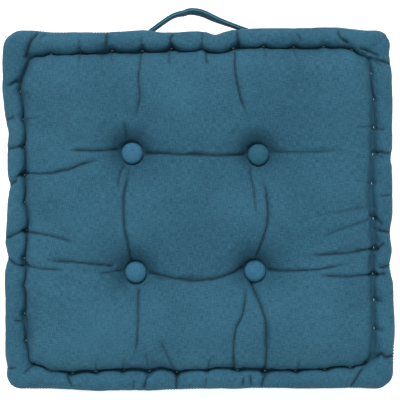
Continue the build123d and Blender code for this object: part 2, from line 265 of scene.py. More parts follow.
# ---- Plan of the cover -----------------------------------------------------------------------------
def side_line(t, half_along, half_out, corner):
    """One side of a rounded rectangle, from one corner's middle at t = -1 to the next at t = 1."""
    straight = half_along - corner
    along = np.abs(t) * (straight + corner * math.pi / 4)
    angle = np.clip(along - straight, 0, None) / np.maximum(corner, 1e-6)
    sign = np.sign(t)
    place = sign * (np.minimum(along, straight) + corner * np.sin(angle))
    out = half_out - corner + corner * np.cos(angle)
    return place, out, sign * np.sin(angle), np.cos(angle)


def turn_side(side, along, out):
    """The X and Y of a place along a side and out from the middle, for side numbers 0 to 3."""
    x = np.choose(side, [along, out, -along, -out])
    y = np.choose(side, [-out, along, out, -along])
    return x, y


def ring_points(side, t, half_x, half_y, corner):
    """Plan points and outward directions on a rounded rectangle."""
    wide = (side % 2) == 0
    half_along = np.where(wide, half_x, half_y)
    half_out = np.where(wide, half_y, half_x)
    place, out, n_along, n_out = side_line(t, half_along, half_out, corner)
    x, y = turn_side(side, place, out)
    nx, ny = turn_side(side, n_along, n_out)
    return np.stack([x, y], -1), np.stack([nx, ny], -1)


def shift_direction(plan, half_x, half_y, reach=20.0):
    """Outward direction that turns the corner gently, over reach mm each side of it."""
    reach = np.minimum(reach, np.maximum(np.minimum(half_x, half_y), 1))
    x = np.sign(plan[:, 0]) * np.clip(np.abs(plan[:, 0]) - half_x + reach, 0, None)
    y = np.sign(plan[:, 1]) * np.clip(np.abs(plan[:, 1]) - half_y + reach, 0, None)
    size = np.maximum(np.hypot(x, y), 1e-6)
    return np.column_stack([x / size, y / size])


def each_side(side, plan):
    """For each side: its name, which points are on it, and their places along it."""
    for number, name in enumerate(SIDES):
        mine = side == number
        yield name, mine, plan[mine, number % 2]


def by_side(side, plan, tables):
    """Each point's value from the table of the side that it is on."""
    values = np.zeros(len(plan))
    for name, mine, along in each_side(side, plan):
        values[mine] = smooth_table(tables[name], along)
    return values


def groove_share(outward):
    """How deep the groove is towards the side that a point faces, which also sets how dark its painted
    shade is.
    """
    x, y = outward[:, 0], outward[:, 1]
    along_x = np.where(x > 0, GROOVE_DEPTH["right"], GROOVE_DEPTH["left"])
    along_y = np.where(y > 0, GROOVE_DEPTH["back"], GROOVE_DEPTH["front"])
    return (along_x * x**2 + along_y * y**2) / np.maximum(x**2 + y**2, 1e-6)


def stitch_pull(side, plan, reach=4.5):
    """1 at a hand stitch, falling to 0 between stitches."""
    pull = np.zeros(len(plan))
    for name, mine, along in each_side(side, plan):
        gaps = np.abs(along[:, None] - np.array(STITCHES[name], float))
        pull[mine] = np.exp(-((gaps.min(axis=1) / reach) ** 2))
    return pull


def from_edge(plan):
    """How far each place is in from the plain outline's nearest side."""
    return np.minimum(HALF_X - np.abs(plan[:, 0]), HALF_Y - np.abs(plan[:, 1]))


def panel_grid():
    """Ring number, side and place on the side of every grid point of a panel."""
    i, j = np.meshgrid(np.arange(COLUMNS + 1), np.arange(ROWS + 1), indexing="ij")
    i, j = i.ravel(), j.ravel()
    back_i, back_j = COLUMNS - i, ROWS - j
    ring = np.minimum.reduce([i, j, back_i, back_j])
    side = np.select([j == ring, back_i == ring, back_j == ring], [0, 1, 2], 3)
    place = np.choose(side, [i, j, back_i, back_j]) - ring
    length = np.where(side % 2 == 0, COLUMNS, ROWS) - 2 * ring
    t = -1 + 2 * place / np.maximum(length, 1)
    return ring, side, t


def panel_faces(upwards):
    """The quads of the panel's grid."""
    start = np.arange(COLUMNS)[:, None] * (ROWS + 1) + np.arange(ROWS)[None, :]
    start = start.ravel()
    quads = np.stack([start, start + ROWS + 1, start + ROWS + 2, start + 1], -1)
    return quads if upwards else quads[:, ::-1]


# ---- Form of the cover before it is stuffed --------------------------------------------------------
def tuft_share(plan):
    """1 on a button's seat, falling off outwards; the four buttons together."""
    free = np.ones(len(plan))
    for spot in BUTTONS.values():
        distance = np.linalg.norm(plan - np.array(spot), axis=1)
        free *= 1 - np.exp(-np.clip(distance - SEAT_RADIUS, 0, None) / DIMPLE_REACH)
    return 1 - free


def crown_height(plan, top):
    """Height of a panel inside the groove."""
    from_x = np.clip(HALF_X - GROOVE_INSET - np.abs(plan[:, 0]), 0, None)
    from_y = np.clip(HALF_Y - GROOVE_INSET - np.abs(plan[:, 1]), 0, None)
    if top:
        rise = (1 - np.exp(-from_x / CROWN_EDGE)) * (1 - np.exp(-from_y / CROWN_EDGE))
        dome = (1 - (plan[:, 0] / HALF_X) ** 2) * (1 - (plan[:, 1] / HALF_Y) ** 2)
        height = groove_z(top) + CROWN_RISE * rise + CROWN_DOME * dome
        seat = TOP_SEAT_Z
        share = tuft_share(plan)
    else:
        rise = (1 - np.exp(-((from_x / 5) ** 2))) * (1 - np.exp(-((from_y / 5) ** 2)))
        height = groove_z(top) + (FLOOR_CLEAR - groove_z(top)) * rise
        seat = BOTTOM_SEAT_Z
        share = tuft_share(plan) ** 1.6
    return height + (seat - height) * share


def roll_height(top):
    """Height of a rolled edge's middle."""
    return TOP_ROLL_Z if top else BOTTOM_ROLL_Z


def groove_z(top):
    """Height of the groove's bottom."""
    drop = ROLL_RADIUS * math.sin(math.radians(ROLL_DEGREES))
    return roll_height(top) + (drop if top else -drop)


def cover_form(ring, side, t, top):
    """A panel before stuffing: its points, how near each is to a stitch, and the groove's depth there."""
    angle = np.radians(ROLL_DEGREES) * np.clip(ring / ROLL_RINGS, 0, 1)
    inset = ROLL_RADIUS * (1 - np.cos(angle))
    last_inset = ROLL_RADIUS * (1 - math.cos(math.radians(ROLL_DEGREES)))
    inside = np.clip(ring - ROLL_RINGS, 0, None)
    crown_x = (HALF_X - last_inset) * (1 - inside / HALF_COLUMNS)
    crown_y = (HALF_Y - last_inset) * (1 - inside / HALF_ROWS)
    half_x = np.where(inside > 0, crown_x, HALF_X - inset)
    half_y = np.where(inside > 0, crown_y, HALF_Y - inset)
    share = np.clip(inset / last_inset, 0, 1)
    corner = np.clip(OUTER_CORNER + (GROOVE_CORNER - OUTER_CORNER) * share - inside, 0, None)
    plan, outward = ring_points(side, t, half_x, half_y, corner)

    gentle = shift_direction(plan, half_x, half_y)
    deep = groove_share(gentle)
    pull = stitch_pull(side, plan)
    outline = by_side(side, plan, OUTLINE) * (1 if top else LOWER_OUTLINE)
    groove = last_inset - by_side(side, plan, GROOVE) + SCALLOP * deep * (pull - 0.5)
    groove *= 1 if top else LOWER_GROOVE
    fade = np.exp(-((inside / 9.0) ** 2))
    shift = (outline * (1 - share) + groove * share) * fade
    shift -= SEAM_DITCH * (ring == 0)
    turn = share[:, None]
    moved = plan + (outward * (1 - turn) + gentle * turn) * shift[:, None]

    up = 1 if top else -1
    on_roll = roll_height(top) + up * ROLL_RADIUS * np.sin(angle)
    z = np.where(inside > 0, crown_height(plan, top), on_roll)
    near = np.exp(-(((ring - ROLL_RINGS) / 0.78) ** 2))
    z -= up * near * (GROOVE_SINK * deep + STITCH_SINK * pull) * (1 if top else 0.5)
    return np.column_stack([moved, z]), pull, deep


def band_profile():
    """The side band's section as (inset, height), from the upper seam to the lower one."""
    reach = math.acos((ROLL_RADIUS - BAND_INSET) / ROLL_RADIUS)
    profile = []
    for k in range(BAND_ARC_ROWS + 1):
        angle = reach * k / BAND_ARC_ROWS
        z = TOP_ROLL_Z - ROLL_RADIUS * math.sin(angle)
        profile.append((ROLL_RADIUS * (1 - math.cos(angle)), z))
    upper_z = profile[-1][1]
    lower_z = TOP_ROLL_Z + BOTTOM_ROLL_Z - upper_z
    for k in range(1, BAND_FLAT_ROWS):
        profile.append((BAND_INSET, upper_z + (lower_z - upper_z) * k / BAND_FLAT_ROWS))
    lower = [(inset, TOP_ROLL_Z + BOTTOM_ROLL_Z - z) for inset, z in profile[BAND_ARC_ROWS::-1]]
    return profile + lower


def band_form():
    """The side band's points, in rows from the upper seam down, and how near each is to a stitch."""
    around = []
    for number in range(4):
        count = COLUMNS if number % 2 == 0 else ROWS
        around += [(number, -1 + 2 * k / count) for k in range(count)]
    side = np.array([a[0] for a in around])
    t = np.array([a[1] for a in around])
    profile = band_profile()
    rows = []
    for number, (inset, z) in enumerate(profile):
        at_seam = number in (0, len(profile) - 1)
        size = np.full(len(side), inset)
        plan, outward = ring_points(side, t, HALF_X - size, HALF_Y - size, OUTER_CORNER - size)
        down = number / (len(profile) - 1)
        outline = by_side(side, plan, OUTLINE) * (1 - (1 - LOWER_OUTLINE) * down)
        shift = outline * np.clip(1 - inset / BAND_INSET, 0, 1)
        pull = stitch_pull(side, plan)
        if at_seam:
            shift = shift - SEAM_DITCH
        else:
            shift -= 0.9 * pull * math.exp(-(((inset - BAND_INSET) / 2) ** 2))
        rows.append(np.column_stack([plan + outward * shift[:, None], np.full(len(side), z)]))
    return rows, pull


def band_faces(row_count, around):
    """The quads of the side band."""
    faces = []
    for row in range(row_count - 1):
        for k in range(around):
            following = (k + 1) % around
            upper, lower = row * around, (row + 1) * around
            faces.append((upper + k, lower + k, lower + following, upper + following))
    return faces


# ---- Stuffing: the cover is blown up against its stitches with cloth simulation --------------------
def add_stuffing(obj, pressure, slack, frames):
    """The cloth simulation that pushes the cover out, holding its vertex group named held."""
    cloth = obj.modifiers.new("stuffing", "CLOTH")
    setting = cloth.settings
    setting.quality = 4
    setting.mass = 0.25
    setting.tension_stiffness = 18
    setting.compression_stiffness = 18
    setting.shear_stiffness = 8
    setting.bending_stiffness = 0.4
    setting.vertex_group_mass = "held"
    setting.use_pressure = True
    setting.uniform_pressure_force = pressure
    setting.shrink_min = -slack
    setting.effector_weights.gravity = 0
    cloth.collision_settings.use_collision = False
    cloth.point_cache.frame_start = 1
    cloth.point_cache.frame_end = frames


def inflate(obj, held, most, pressure=4.0, slack=0.012, frames=20):
    """Blow up the points that aren't held. No point moves more than most mm."""
    rest = mesh_points(obj.data)
    group = obj.vertex_groups.new(name="held")
    group.add([int(k) for k in np.flatnonzero(held)], 1.0, "REPLACE")
    add_stuffing(obj, pressure, slack, frames)
    scene = bpy.context.scene
    for number in range(1, frames + 1):
        scene.frame_set(number)
    graph = bpy.context.evaluated_depsgraph_get()
    move = mesh_points(obj.evaluated_get(graph).data) - rest
    obj.modifiers.clear()
    obj.vertex_groups.clear()
    scene.frame_set(1)
    size = np.linalg.norm(move, axis=1)
    capped = most * np.tanh(size / most)
    move *= (capped / np.maximum(size, 1e-6))[:, None]
    set_points(obj, rest + np.nan_to_num(move))


# ---- Folds -----------------------------------------------------------------------------------------
SOFT_WIDTH = 9.0  # half-width of the soft valley round a fold

# Each fold of the upper panel: its depth, the width of its sharp part, the depth of the soft valley
# round it, how strong its two ends are, and the points that it passes through.
# A fold's depth and width also set how dark and how wide the painted shade along it is.
PANEL_FOLDS = (
    # soft pulls beside the buttons and below the back edge
    (0.0, 1.5, 2.4, (1.0, 0.1), ((-78, 67), (-100, 88))),
    (0.0, 1.5, 1.6, (1.0, 0.1), ((-68, 72), (-66, 104))),
    (0.0, 1.5, 2.0, (1.0, 0.1), ((52, 65), (33, 82))),
    (0.0, 1.5, 1.5, (1.0, 0.1), ((60, 71), (54, 100))),
    (0.0, 1.5, 2.2, (1.0, 0.1), ((-74, -75), (-88, -92))),
    (0.0, 1.5, 1.6, (1.0, 0.1), ((48, -54), (33, -40))),
    (0.0, 1.5, 1.6, (0.8, 0.2), ((-97, 160), (-94, 122), (-84, 84))),
    (0.0, 1.5, 1.3, (0.9, 0.1), ((-30, 160), (-26, 122))),
    (0.0, 1.5, 1.1, (0.9, 0.1), ((12, 160), (17, 118))),
    # between the buttons
    (2.2, 1.5, 2.2, (1.0, 1.0), ((-57, 58.5), (-15, 56.8), (27, 55.6), (50, 57.5))),
    (1.9, 1.6, 2.2, (0.8, 1.0), ((-53, -65), (-23, -69.5), (2, -71), (18, -69.3), (36, -65), (48, -60))),
    (0.8, 1.3, 0.0, (0.4, 0.2), ((-50, -68.5), (-31, -71.5))),
    (2.0, 1.4, 1.8, (0.3, 1.0),
     ((-71, 44), (-74.5, 22), (-76.5, 4), (-75.5, -14), (-72.5, -33), (-69, -54))),
    (1.0, 1.5, 0.6, (0.8, 0.2), ((-76, 47), (-80, 38), (-81.5, 22))),
    (1.7, 1.4, 1.6, (0.2, 1.0), ((64, 36), (67.5, 24), (70, 8), (70.5, -10), (65, -31), (59, -50))),
    (1.1, 1.5, 0.8, (0.8, 0.2), ((55, 45), (53.5, 38), (56.5, 20), (58.5, -6))),
    # from the left buttons to the left edge
    (1.5, 1.4, 1.6, (1.0, 0.3), ((-81, 62), (-106, 60), (-130, 60.5))),
    (2.0, 1.5, 1.2, (1.0, 0.2), ((-178, 38), (-157, 37.3), (-134, 40.5), (-118, 46), (-98, 52))),
    (1.7, 1.4, 1.2, (0.3, 1.0), ((-152, -51.5), (-122, -53.5), (-87, -57.8))),
    (1.2, 1.4, 0.8, (1.0, 0.2), ((-178, -57), (-157, -60), (-135, -60.8))),
    (1.1, 1.4, 0.6, (0.2, 1.0), ((-101, -65), (-77, -62.5))),
    (1.3, 1.5, 0.8, (1.0, 0.2), ((-176, -23), (-151, -26), (-125, -33))),
    # up to the back edge
    (1.1, 1.8, 1.0, (1.0, 0.4), ((-59, 163), (-60.5, 134), (-59.5, 113), (-64, 95))),
    (0.9, 1.8, 0.5, (0.2, 1.0), ((-76, 90), (-73.5, 72))),
    (1.5, 1.6, 1.2, (1.0, 0.3), ((36.5, 163), (37.5, 138), (43, 113), (48.5, 97))),
    (1.2, 1.6, 0.4, (1.0, 0.1), ((8, 161), (9, 147))),
    (1.0, 1.6, 0.4, (1.0, 0.1), ((-31, 162), (-30, 147))),
    (0.8, 1.6, 0.4, (1.0, 0.1), ((-122, 160), (-121, 148))),
    # to the right edge
    (1.0, 1.6, 1.2, (1.0, 0.2), ((76, 59.5), (107, 58.5), (140, 60))),
    (1.9, 1.4, 1.4, (1.0, 0.2), ((70, -62), (89, -62.5), (120, -60), (150, -55))),
    (1.9, 1.4, 1.0, (0.2, 1.0), ((121, -66), (149, -67.5), (179, -66))),
    (1.7, 1.5, 0.8, (0.1, 1.0), ((108, -47), (141, -44.5), (179, -40))),
    (0.9, 1.8, 0.8, (0.1, 0.8), ((122, -28), (149, -18), (175, -10))),
    (0.5, 2.0, 0.6, (0.1, 0.6), ((112, -8), (140, -2), (172, 2))),
    # down to the front edge
    (1.3, 1.5, 1.2, (0.7, 0.3), ((-62, -80), (-61.5, -109), (-62.5, -134), (-65, -146))),
    (2.1, 1.5, 1.4, (1.0, 1.0), ((55, -74), (62, -93), (68.5, -114), (69, -134), (67.5, -165))),
    (1.5, 1.5, 1.0, (0.3, 0.9), ((50, -79), (45, -105), (38, -122), (35.5, -144), (36, -163))),
    (0.8, 1.8, 0.9, (0.1, 0.8), ((-39, -130), (-33, -146), (-24, -165))),
    (0.7, 1.8, 0.9, (0.1, 0.8), ((-54, -143), (-51, -165))),
    (0.8, 1.5, 0.5, (0.8, 0.1), ((-105, -166), (-104, -153))),
    (0.8, 1.5, 0.5, (0.8, 0.1), ((101, -166), (103, -152))),
    (0.8, 1.5, 0.4, (1.0, 0.1), ((-78, -166), (-76, -150))),
    (0.8, 1.5, 0.4, (1.0, 0.1), ((9, -165), (12, -150))),
    (0.8, 1.5, 0.4, (1.0, 0.1), ((-89, 163), (-88, 150))),
    (0.8, 1.5, 0.4, (1.0, 0.1), ((67, 166), (69, 154))),
    (0.8, 1.5, 0.4, (1.0, 0.1), ((98, 166), (99, 154))),
    (0.7, 1.5, 0.5, (1.0, 0.1), ((-178, 93), (-160, 94))),
    (0.7, 1.5, 0.5, (1.0, 0.1), ((178, 27), (158, 30))),
    (0.8, 1.5, 0.5, (1.0, 0.1), ((178, 85), (160, 84))),
)

# Folds and pinches across the upper rolled edge, in the same terms.
ROLL_FOLDS = (
    # corners
    (2.8, 1.6, 1.2, (0.8, 1.0), ((-165, 184), (-170.5, 175), (-174, 166), (-175, 157))),
    (2.4, 1.6, 1.0, (1.0, 0.4), ((-184.5, 132), (-189, 129.5), (-196, 127))),
    (0.9, 1.5, 0.4, (0.8, 0.2), ((-157, 181), (-163, 175))),
    (1.7, 1.5, 0.8, (0.8, 1.0), ((143, 183), (145, 176), (152, 170))),
    (1.9, 1.5, 0.8, (1.0, 0.5), ((166, 164), (173, 162), (184, 158))),
    (2.2, 1.5, 1.0, (0.4, 1.0), ((178, 156), (184, 153), (199, 150))),
    (1.1, 1.4, 0.5, (1.0, 0.2), ((175, 156), (189, 146))),
    (2.8, 1.7, 1.2, (1.0, 0.8), ((201, -150), (193, -151), (186, -147.5), (180.5, -149.5))),
    (1.0, 1.4, 0.3, (0.6, 0.2), ((180, -150), (173.5, -156), (167, -161))),
    (1.8, 1.5, 0.8, (1.0, 0.6), ((167, -163), (161, -172), (156, -182))),
    (1.2, 1.5, 0.6, (0.2, 1.0), ((-186, -162), (-198, -163))),
    (1.2, 1.5, 0.5, (0.8, 0.2), ((-168, -157), (-180, -168))),
    # back
    (2.0, 1.5, 0.8, (1.0, 0.8), ((-94, 183), (-94, 166))),
    (1.0, 1.5, 0.4, (0.3, 1.0), ((-59, 176), (-57.5, 165))),
    (1.7, 1.5, 0.8, (0.8, 1.0), ((-26, 181), (-29, 174), (-27, 165))),
    (1.0, 1.5, 0.4, (0.6, 0.6), ((4, 183), (3, 166))),
    (2.4, 1.6, 1.0, (1.0, 1.0), ((39.5, 184), (40.5, 168))),
    (0.9, 1.5, 0.3, (0.6, 0.2), ((102, 180), (105, 172))),
    (0.9, 1.5, 0.3, (0.2, 1.0), ((-122, 174), (-122, 165))),
    # left
    (1.4, 1.5, 0.6, (1.0, 0.3), ((-198, 92), (-188, 95))),
    (1.6, 1.5, 0.8, (1.0, 0.8), ((-197, 62), (-181, 65))),
    (1.5, 1.5, 0.7, (0.4, 1.0), ((-188, 33), (-179, 37))),
    (2.0, 1.5, 1.0, (1.0, 0.3), ((-196, 24), (-185, 31))),
    (2.0, 1.5, 1.0, (0.8, 1.0), ((-198, -29), (-188, -25), (-178, -21))),
    (2.0, 1.5, 1.0, (1.0, 0.7), ((-198, -48), (-189, -55), (-179, -57))),
    (1.2, 1.5, 0.5, (0.3, 1.0), ((-189, -113), (-180, -114))),
    # right
    (1.0, 1.5, 0.5, (1.0, 0.3), ((180, 83), (191, 82))),
    (1.8, 1.5, 0.8, (0.6, 1.0), ((180, 59), (199, 58))),
    (1.0, 1.4, 0.4, (1.0, 0.2), ((181, 57), (190, 53))),
    (1.1, 1.5, 0.4, (0.2, 0.8), ((186, 14), (198, 15))),
    (1.4, 1.5, 0.6, (1.0, 0.3), ((177, -5), (189, -16))),
    (2.1, 1.5, 1.0, (0.6, 1.0), ((182, -21), (197, -23))),
    (1.6, 1.5, 0.6, (1.0, 0.4), ((180, -41), (190, -34))),
    (2.3, 1.5, 1.1, (0.5, 1.0), ((184, -60), (199, -57))),
    (1.6, 1.5, 0.6, (1.0, 0.3), ((178, -67), (193, -65))),
    (1.0, 1.5, 0.4, (1.0, 0.2), ((179, -92), (188, -94))),
    (0.9, 1.5, 0.4, (0.6, 0.2), ((179, -122), (190, -124))),
    # front
    (1.6, 1.5, 0.8, (1.0, 0.3), ((-133, -170), (-130, -181))),
    (1.5, 1.5, 0.8, (1.0, 0.6), ((-52, -169), (-56, -184))),
    (2.2, 1.5, 1.0, (1.0, 1.0), ((-22, -168), (-23, -186))),
    (1.4, 1.5, 0.6, (0.6, 0.3), ((46, -171), (45, -180))),
    (1.4, 1.5, 0.6, (0.8, 0.3), ((53, -169), (54, -181))),
    (2.0, 1.5, 0.9, (1.0, 0.6), ((68, -168), (64, -183))),
    (0.8, 1.5, 0.3, (0.3, 0.6), ((-66, -174), (-67, -184))),
    (0.8, 1.5, 0.3, (0.3, 0.6), ((8, -172), (7, -183))),
)


def beside_line(places, line):
    """Each place's distance from a line, and how far along the line it is, from 0 to 1."""
    start, run = line[:-1], line[1:] - line[:-1]
    length = np.linalg.norm(run, axis=1)
    away = places[:, None, :] - start[None]
    share = np.clip((away * run[None]).sum(-1) / (length**2)[None], 0, 1)
    gap = np.linalg.norm(away - share[..., None] * run[None], axis=-1)
    best = gap.argmin(axis=1)
    rows = np.arange(len(places))
    along = np.concatenate([[0], np.cumsum(length)])[best] + share[rows, best] * length[best]
    return gap[rows, best], along / length.sum()


def press_folds(points, normals, folds, plan, fold_shade_mark, give=None):
    """Move points inwards along each fold, as far as they give, and mark the painted shade along it,
    darker the deeper the fold.
    """
    give = np.ones(len(points)) if give is None else give
    reach = 2.5 * SOFT_WIDTH
    for depth, width, soft, (start, end), through_points in folds:
        line = through(through_points)
        low, high = line.min(axis=0) - reach, line.max(axis=0) + reach
        near = np.flatnonzero(np.all((plan > low) & (plan < high), axis=1))
        distance, along = beside_line(plan[near], line)
        taper = ease(along / 0.3 + start) * ease((1 - along) / 0.3 + end)
        sharp = 1 / (1 + (distance / width) ** 2) ** 1.5
        valley = np.exp(-((distance / SOFT_WIDTH) ** 2))
        lip = np.exp(-(((distance - 3.2 * width) / (1.4 * width)) ** 2))
        move = (-depth * sharp - soft * valley + 0.22 * depth * lip) * taper
        points[near] += normals[near] * (move * give[near])[:, None]
        # painted shade along the fold: darker for deeper folds, in a line narrower than its valley
        mark_width = width * (0.62 + 0.2 * depth)
        mark = taper * min(1.0, depth / 1.4) / (1 + (distance / mark_width) ** 2) ** 2
        fold_shade_mark[near] = np.maximum(fold_shade_mark[near], mark * give[near])


def store_painted_shade(obj, mark):
    """Keep the painted shade of folds, grooves and button dimples as an attribute, which darkens the
    cloth's colour.
    """
    attribute = obj.data.attributes.get("fold") or obj.data.attributes.new("fold", "FLOAT", "POINT")
    attribute.data.foreach_set("value", mark.astype(np.float32))


def read_painted_shade(obj):
    """The painted shade of folds, grooves and button dimples kept on the object."""
    mark = np.empty(len(obj.data.vertices), np.float32)
    obj.data.attributes["fold"].data.foreach_get("value", mark)
    return mark.astype(float)


def painted_button_shade(points):
    """Painted shade beside the nearest button: a thin ring where the cloth meets its rim, and a broad
    patch to its back left, on the slope that faces away from the key light.
    """
    shade = np.zeros(len(points))
    for spot in BUTTONS.values():
        away = points[:, :2] - np.array(spot)
        distance = np.linalg.norm(away, axis=1)
        back_left = (away[:, 1] - away[:, 0]) / np.maximum(distance, 1) / math.sqrt(2)
        rim = 0.16 * np.exp(-((np.clip(distance - 10.5, 0, None) / 1.6) ** 2))
        fall = np.exp(-((np.clip(distance - 10, 0, None) / 11) ** 1.4))
        back_left_shade = 0.26 * ease(0.5 + 0.6 * back_left) * fall
        shade = np.maximum(shade, rim + back_left_shade)
    return shade


def on_seats(plan):
    """Which places are on a button's seat."""
    seated = np.zeros(len(plan), bool)
    for spot in BUTTONS.values():
        seated |= np.linalg.norm(plan - np.array(spot), axis=1) < SEAT_RADIUS
    return seated


def stuffed_panel(top):
    """A panel blown up between its seam, stitches and buttons, and then made finer."""
    ring, side, t = panel_grid()
    form, pull, deep = cover_form(ring, side, t, top)
    obj = new_object("cover_top" if top else "cover_bottom", form, panel_faces(top))
    in_groove = np.exp(-(((ring - ROLL_RINGS) / 0.45) ** 2))
    # painted shade along the groove line, darker at stitches and where the groove is deeper
    store_painted_shade(obj, in_groove * (0.8 + 0.2 * pull) * np.sqrt(deep))
    crease_line(obj, ring == ROLL_RINGS)
    at_stitch = (np.abs(ring - ROLL_RINGS) <= 1) & (pull > HELD_PULL)
    shallow = (ring == ROLL_RINGS) & (deep < SHALLOW_GROOVE)
    held = (ring == 0) | on_seats(form[:, :2]) | at_stitch | shallow
    inflate(obj, held, 5.0 if top else 1.5, frames=20 if top else 10)
    subdivide(obj)
    return obj


def make_panel(top):
    """The upper or lower panel of the cover, in from its seam, with its lumps and folds."""
    obj = stuffed_panel(top)
    points, normals = mesh_points(obj.data), mesh_normals(obj.data)
    random = np.random.default_rng(5 if top else 6)
    plan = points[:, :2].copy()
    edge = from_edge(plan)
    free = ease((edge - 2) / 12) * (1 - tuft_share(plan))
    lumps = 0.7 * ripples(plan, 62, 12, random) + 0.25 * ripples(plan, 24, 16, random)
    points += normals * (lumps * free * (1.0 if top else 0.4))[:, None]
    # painted shade: the groove's shade from the stuffing stage and the shade beside the buttons; the folds
    # add theirs below
    mark = np.maximum(read_painted_shade(obj) ** 1.8, painted_button_shade(points))
    off_seam = ease((np.abs(points[:, 2] - roll_height(top)) - 0.4) / 3.5)
    give = np.where(edge > 12, 1.0, off_seam)
    folds = PANEL_FOLDS + ROLL_FOLDS if top else lower_folds()
    press_folds(points, normals, folds, plan, mark, give)
    if not top:
        points[:, 2] = np.maximum(points[:, 2], 0.1)
    set_points(obj, points)
    store_painted_shade(obj, mark)
    return obj


def lower_folds():
    """Short tucks at the lower panel's stitches and folds between its buttons."""
    random = np.random.default_rng(8)
    folds = []
    spots = {name: np.array(spot) for name, spot in BUTTONS.items()}
    for a, b in (("back_left", "back_right"), ("front_left", "front_right"),
                 ("back_left", "front_left"), ("back_right", "front_right")):
        run = spots[b] - spots[a]
        way = run / np.linalg.norm(run)
        side = np.array([-way[1], way[0]])
        start, end = spots[a] + way * 13, spots[b] - way * 13
        middle = (start + end) / 2 + side * random.uniform(-5, 5)
        folds.append((1.2, 1.6, 0.6, (1.0, 1.0), (start, middle, end)))
    for name in SIDES:
        along_x = name in ("front", "back")
        sign = 1 if name in ("back", "right") else -1
        half = HALF_Y if along_x else HALF_X
        for place in STITCHES[name]:
            inner = sign * (half - GROOVE_INSET - random.uniform(9, 20))
            outer = sign * (half - 4)
            drift = random.uniform(-3, 3)
            ends = ((place + drift, inner), (place, outer))
            points = ends if along_x else tuple((b, a) for a, b in ends)
            folds.append((random.uniform(0.6, 1.4), 1.6, 0.3, (0.1, 0.8), points))
    return folds


def behind_strap(points, depth, left, right):
    """Which points are in the back of the band, between two places along it."""
    return (points[:, 1] > HALF_Y - depth) & (points[:, 0] > left) & (points[:, 0] < right)


def stuffed_band():
    """The side band blown up between its seams, its stitches and the strap, and then made finer."""
    rows, pull = band_form()
    form = np.vstack(rows)
    obj = new_object("cover_side_band", form, band_faces(len(rows), len(pull)))
    row = np.repeat(np.arange(len(rows)), len(pull))
    last = len(rows) - 1
    in_groove = (row == BAND_ARC_ROWS) | (row == last - BAND_ARC_ROWS)
    at_stitch = in_groove & (np.tile(pull, len(rows)) > HELD_PULL)
    on_flat = (row >= BAND_ARC_ROWS) & (row <= last - BAND_ARC_ROWS)
    under_strap = behind_strap(form, 20, -90, 106) & on_flat
    held = (row == 0) | (row == last) | at_stitch | under_strap
    inflate(obj, held, 2.5, pressure=2.5, frames=10)
    subdivide(obj)
    return obj


def band_side(points):
    """The number of the side that each of the band's points is on."""
    x, y = points[:, 0], points[:, 1]
    on_x_side = np.abs(x) > np.abs(y) * HALF_X / HALF_Y
    return np.where(on_x_side, np.where(x > 0, 1, 3), np.where(y > 0, 2, 0))


def band_tucks(name, upper, random):
    """Short tucks from one side's stitches towards the middle, as (place along the side, height)."""
    tucks = []
    for place in STITCHES[name]:
        start, end = (60, random.uniform(36, 48)) if upper else (20, random.uniform(32, 44))
        line = (place, start), (place + random.uniform(-5, 5), end)
        tucks.append((random.uniform(0.4, 1.1), 1.6, 0.2, (0.9, 0.1), line))
    return tucks


def make_band():
    """The side band, from the upper seam to the lower one, with its lumps and tucks."""
    obj = stuffed_band()
    points, normals = mesh_points(obj.data), mesh_normals(obj.data)
    random = np.random.default_rng(9)
    middle = np.exp(-(((points[:, 2] - STRAP_Z) / 22) ** 4))
    at_strap = behind_strap(points, 25, -95, 112) & (np.abs(points[:, 2] - STRAP_Z) < 13)
    calm = np.where(at_strap, 0.15, 1.0)
    lumps = 0.55 * ripples(points, 48, 12, random) + 0.2 * ripples(points, 18, 14, random)
    points += normals * (lumps * middle * calm)[:, None]
    side = band_side(points)
    along = np.where(side % 2 == 0, points[:, 0], points[:, 1])
    # painted shade along the band's tucks
    mark = np.zeros(len(points))
    for number, name in enumerate(SIDES):
        for upper in (True, False):
            unrolled = np.column_stack([along, points[:, 2]])
            unrolled[side != number] = FAR_AWAY
            shaped = points.copy()
            press_folds(shaped, normals, band_tucks(name, upper, random), unrolled, mark)
            off_rolls = ease((66.5 - points[:, 2]) / 3) * ease((points[:, 2] - 13.5) / 3)
            points += (shaped - points) * (calm * off_rolls)[:, None]
    set_points(obj, points)
    store_painted_shade(obj, mark)
    return obj


# ---- Threads ---------------------------------------------------------------------------------------
def tube_faces(rings, around):
    """The quads between rings of points that follow each other."""
    faces = []
    for a in range(0, (rings - 1) * around, around):
        for k in range(around):
            n = (k + 1) % around
            faces.append((a + k, a + n, a + around + n, a + around + k))
    return faces


def capsule(start, end, radius, bow, around=8, lengths=6):
    """Points and quads of a short bowed thread with rounded ends."""
    start, end = np.array(start, float), np.array(end, float)
    way = end - start
    way /= np.linalg.norm(way)
    side = np.cross(way, bow)
    side /= np.linalg.norm(side)
    up = np.cross(side, way)
    points = []
    for k in range(lengths + 1):
        s = k / lengths
        size = radius * math.sqrt(max(1 - (2 * s - 1) ** 6, 0.02))
        centre = start + (end - start) * s + np.array(bow) * (4 * s * (1 - s))
        for m in range(around):
            angle = 2 * math.pi * m / around
            points.append(centre + size * (math.cos(angle) * side + math.sin(angle) * up))
    faces = tube_faces(lengths + 1, around)
    faces.append(tuple(range(around))[::-1])
    faces.append(tuple(lengths * around + m for m in range(around)))
    return points, faces


def threads_object(name, threads, radius, around=8, lengths=6):
    """One object of many short threads: each is (start, end, bow)."""
    points, faces = [], []
    for start, end, bow in threads:
        p, f = capsule(start, end, radius, bow, around, lengths)
        base = len(points)
        points += p
        faces += [tuple(base + k for k in face) for face in f]
    return new_object(name, points, faces)


